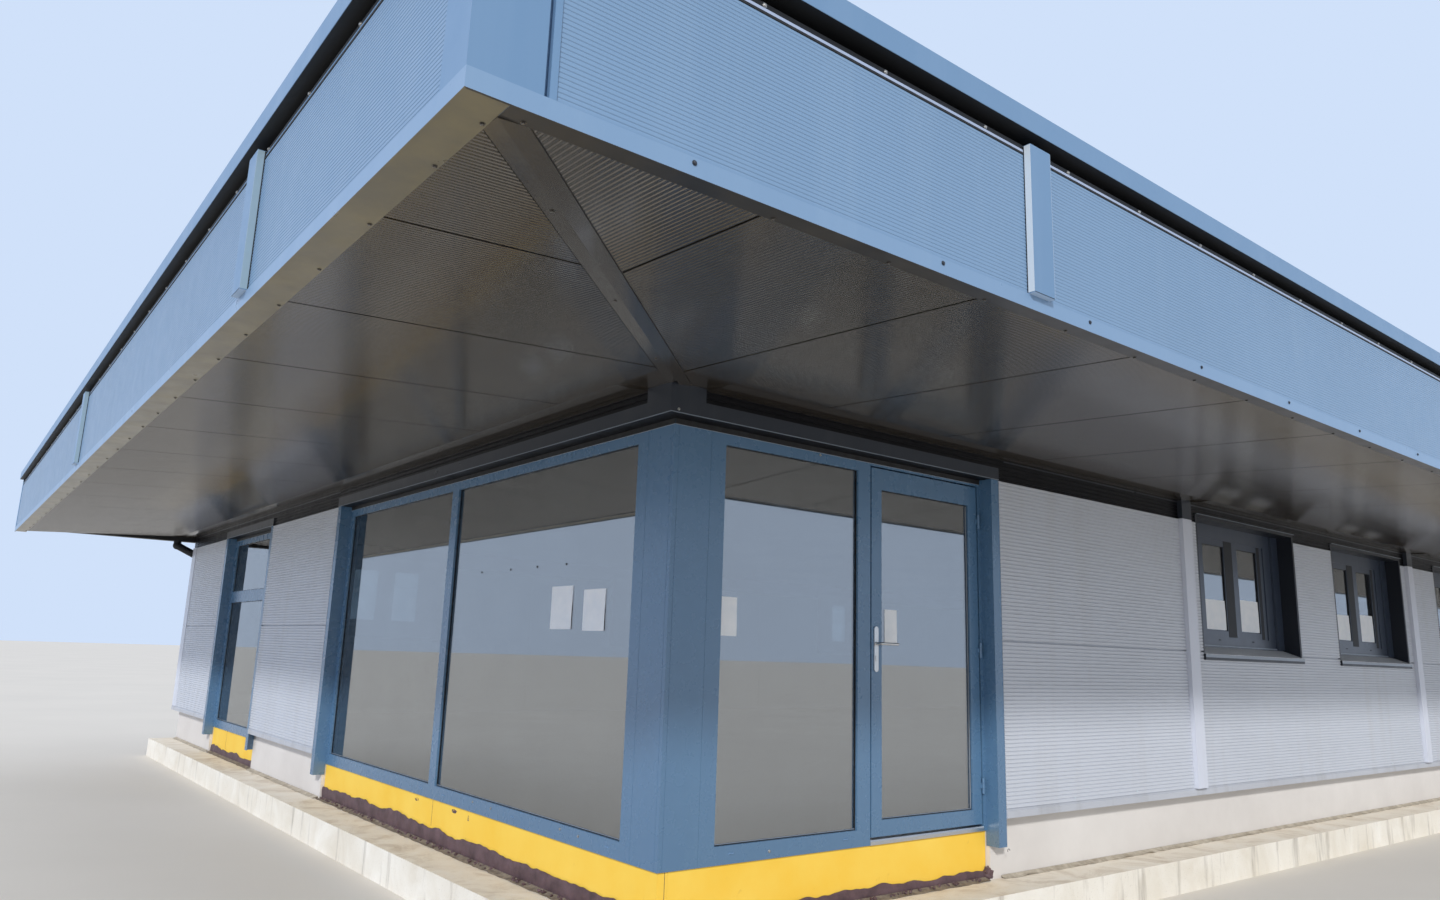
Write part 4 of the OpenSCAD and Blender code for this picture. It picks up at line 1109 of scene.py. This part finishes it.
# the lump where the coating ends beside the plinth
lump = lumpShape(3, (0.042, 0.03, 0.045), 0.006, 0.7, 4)
made.append(moved(lump, placeOn("front", 2.545, 0.0, 0.255)))
joined("bitumenCoating", made, "bitumenCoat")

# mortar left at the foot of the plinths and the coating
mortar = {
    "wide": 0.05, "low": 0.2205, "step": 0.045, "thick": 0.004, "worn": 0.012,
    "rises": [(-0.002, 0.011), (-0.024, 0.00495)],  # what lies behind this place rises by this much
    "plinths": [
        # side, start, end, plane behind it, seed
        ("front", 2.64, 20.18, -0.02, 11),
        ("left", 5.06, 7.33, -0.02, 14),
        ("left", 9.31, 11.2, -0.02, 15),
    ],
    "boards": [
        ("front", 0.02, 2.52, -0.002, 12),
        ("left", 0.02, 5.04, -0.002, 13),
        ("left", 7.36, 9.27, -0.002, 16),
    ],
}


def mortarStrip(length, seed):
    columns = int(length / mortar["step"])
    obj = grid(columns, 3, length, mortar["wide"], (length / 2, -mortar["wide"] / 2, mortar["low"]))
    for place, rise in mortar["rises"]:
        movePoints(obj, lambda co: co.y > place, (0, 0, rise))
    roughened(obj, lambda co: co.y < -0.002, mortar["worn"], 0, seed)
    thickened(obj, mortar["thick"], 1)
    applied(obj, "SUBSURF", levels=1, render_levels=1)
    return obj


for name, kind in (("footMortar", "plinths"), ("footGrit", "boards")):
    made = [turnedTo(mortarStrip(end - start, seed), side, start, end - start, plane)
            for side, start, end, plane, seed in mortar[kind]]
    joined(name, made, name)
print("coating and mortar laid")

# joints and holes of the yellow boards
boardMarks = {
    "joints": [("left", 2.708, 0.335, 0.508), ("front", 0.052, 0.285, 0.508), ("left", 8.62, 0.31, 0.508)],
    "joint": (0.0025, 0.0014, bitumen["face"] + 0.0004),  # width, proud of the plane, plane
    # side, place, height, and how far each is stretched along and up
    "holes": [("left", 2.99, 0.472, 3, 0.8), ("left", 2.354, 0.477, 3.4, 1), ("left", 2.13, 0.462, 0.8, 1.5)],
    "radius": 0.012, "thick": 0.002, "sides": 12, "border": 0.004, "dip": 0.0012, "worn": 0.003,
}
wide, proud, plane = boardMarks["joint"]
made = [wallStrip(side, x, x + wide, low, high, proud, plane) for side, x, low, high in boardMarks["joints"]]
for side, x, z, wide, high in boardMarks["holes"]:
    hole = disc(boardMarks["sides"], boardMarks["radius"], boardMarks["thick"])
    insetFront(hole, boardMarks["border"], boardMarks["dip"])
    roughened(hole, lambda co: True, boardMarks["worn"], 0, round(x * 10))
    moved(hole, (0, 0, z), Matrix.Diagonal((wide, 1, high, 1)))
    made.append(turnedTo(hole, side, x, 0, bitumen["face"]))
joined("boardMarks", made, "bitumenCoat")

# a bent wire end beside the foot of the door
wireHook = {
    "spot": (2.632, wallPlane - 0.004, 0.396), "radius": 0.0016, "bend": 0.011, "angle": 215, "steps": 9,
}
nothingChosen()
bpy.ops.mesh.primitive_circle_add(vertices=8, radius=wireHook["radius"], fill_type="NGON",
                                  location=(wireHook["bend"], 0, 0))
hook = settled(bpy.context.object)
chooseFaces(hook, lambda f: True)
angle = math.radians(wireHook["angle"])
bpy.ops.mesh.spin(steps=wireHook["steps"], angle=angle, center=(0, 0, 0), axis=(0, 1, 0))
bpy.ops.mesh.select_all(action="SELECT")
bpy.ops.mesh.normals_make_consistent(inside=False)
joined("wireHook", [moved(hook, placeOn("front", *wireHook["spot"]))], "blackRubber")

# lock cylinder of the door, round above and long below
lock = {
    "x": 1.52, "z": 1.56, "places": (-0.01, 0.074), "radius": 0.0085, "deep": 0.005, "below": -0.004,
    "longer": 0.015, "border": 0.0015, "edge": 0.0006, "sides": 24,
}


def lockShape():
    obj = disc(lock["sides"], lock["radius"], lock["deep"])
    movePoints(obj, lambda co: co.z < lock["below"], (0, 0, -lock["longer"]))
    chooseFaces(obj, lambda f: abs(f.normal.y) > 0.9)
    bpy.ops.mesh.inset(thickness=lock["border"])
    rounded(obj, lock["edge"])
    return obj


places = [(placeOn("front", lock["x"], y, lock["z"]),) for y in lock["places"]]
spread("lockCylinder", lockShape(), places, "brushedSteel", "bare_metal", "door")

# welded laps of the roof membrane
roof = {
    "pitch": 1.55, "run": (-1.25, building["length"] + 1.9), "wide": 0.06, "thick": 0.003,
    "radius": 0.0012, "front": -2.045, "back": 11.288, "high": 3.338, "low": 3.1226,
}


def roofLap():
    run, fall = roof["back"] - roof["front"], roof["high"] - roof["low"]
    middle = (0, (roof["front"] + roof["back"]) / 2, (roof["high"] + roof["low"] + roof["thick"]) / 2)
    size = (roof["wide"], math.hypot(run, fall), roof["thick"])
    return box(size, middle, roof["radius"], (-math.atan2(fall, run), 0, 0))


places = [(placeOn("front", x, 0, 0),) for x in alongRuns([roof["run"]], roof["pitch"])]
spread("roofLaps", roofLap(), places, "roofLapSheet")

# straps across the gutter
strap = {
    "size": (0.025, 0.118, 0.003), "spot": (11.351, 3.0815), "radius": 0.001, "pitch": 0.9,
    "run": (-1.8, building["length"] + 1.85),
}
places = [(placeOn("front", x, *strap["spot"]),) for x in alongRuns([strap["run"]], strap["pitch"])]
spread("gutterStraps", box(strap["size"], radius=strap["radius"]), places, "blackSheet", "black_sheet")
print("roof laps and gutter straps laid")

# pale floor, soft light and a pale sky that only shows to the camera, metal and glass
studio = {
    "floor": (226, 219, 208),
    "floorSize": 400,
    "sky": (208, 225, 250),
    "skyStrength": 1.0,
    "fill": (232, 240, 254),
    "fillStrength": 0.74,
    # strength, softness in degrees, where it comes from, colour, and whether smooth faces mirror it
    "softSun": (2.3, 5, (-0.607, -0.633, 0.481), (255, 255, 255), True),
    "sideLight": (0.5, 60, (-1.0, 0.15, 0.12), (110, 175, 255), False),
}


def addFloor():
    nothingChosen()
    bpy.ops.mesh.primitive_plane_add(size=studio["floorSize"], location=(0, 0, 0))
    floor = bpy.context.object
    floor.name = "floor"
    p = Paint("floorPaint", 0.8)
    p.colour(p.ramp(p.cloud(0.4, 5), (0.3, studio["floor"]), (0.7, asColour(studio["floor"], 0.95))))
    floor.data.materials.append(p.mat)


def addSky():
    world = bpy.data.worlds.new("studioSky")
    bpy.context.scene.world = world
    world.use_nodes = True
    world.node_tree.nodes.clear()
    sky = NodeTree(world.node_tree)
    rays = sky.add("LightPath").outputs
    seen = rays["Is Camera Ray"]
    for ray in ("Is Glossy Ray", "Is Transmission Ray"):
        seen = sky.sums(seen, rays[ray], clamp=True)
    mix = sky.add("MixShader", Fac=seen)
    for k, kind in ((1, "fill"), (2, "sky")):
        light = sky.add("Background", Color=studio[kind], Strength=studio[kind + "Strength"])
        sky.feed(light.outputs[0], mix.inputs[k])
    sky.add("OutputWorld", Surface=mix.outputs[0])


def addLight(name):
    strength, softness, source, colour, mirrored = studio[name]
    lamp = bpy.data.lights.new(name, "SUN")
    lamp.energy = strength
    lamp.angle = math.radians(softness)
    lamp.color = asColour(colour)[:3]
    light = linked(name, lamp)
    light.rotation_euler = Vector(source).to_track_quat("Z", "Y").to_euler()
    light.visible_glossy = mirrored


addFloor()
addSky()
addLight("softSun")
addLight("sideLight")
bpy.context.scene.view_settings.view_transform = "Standard"
print("studio set")
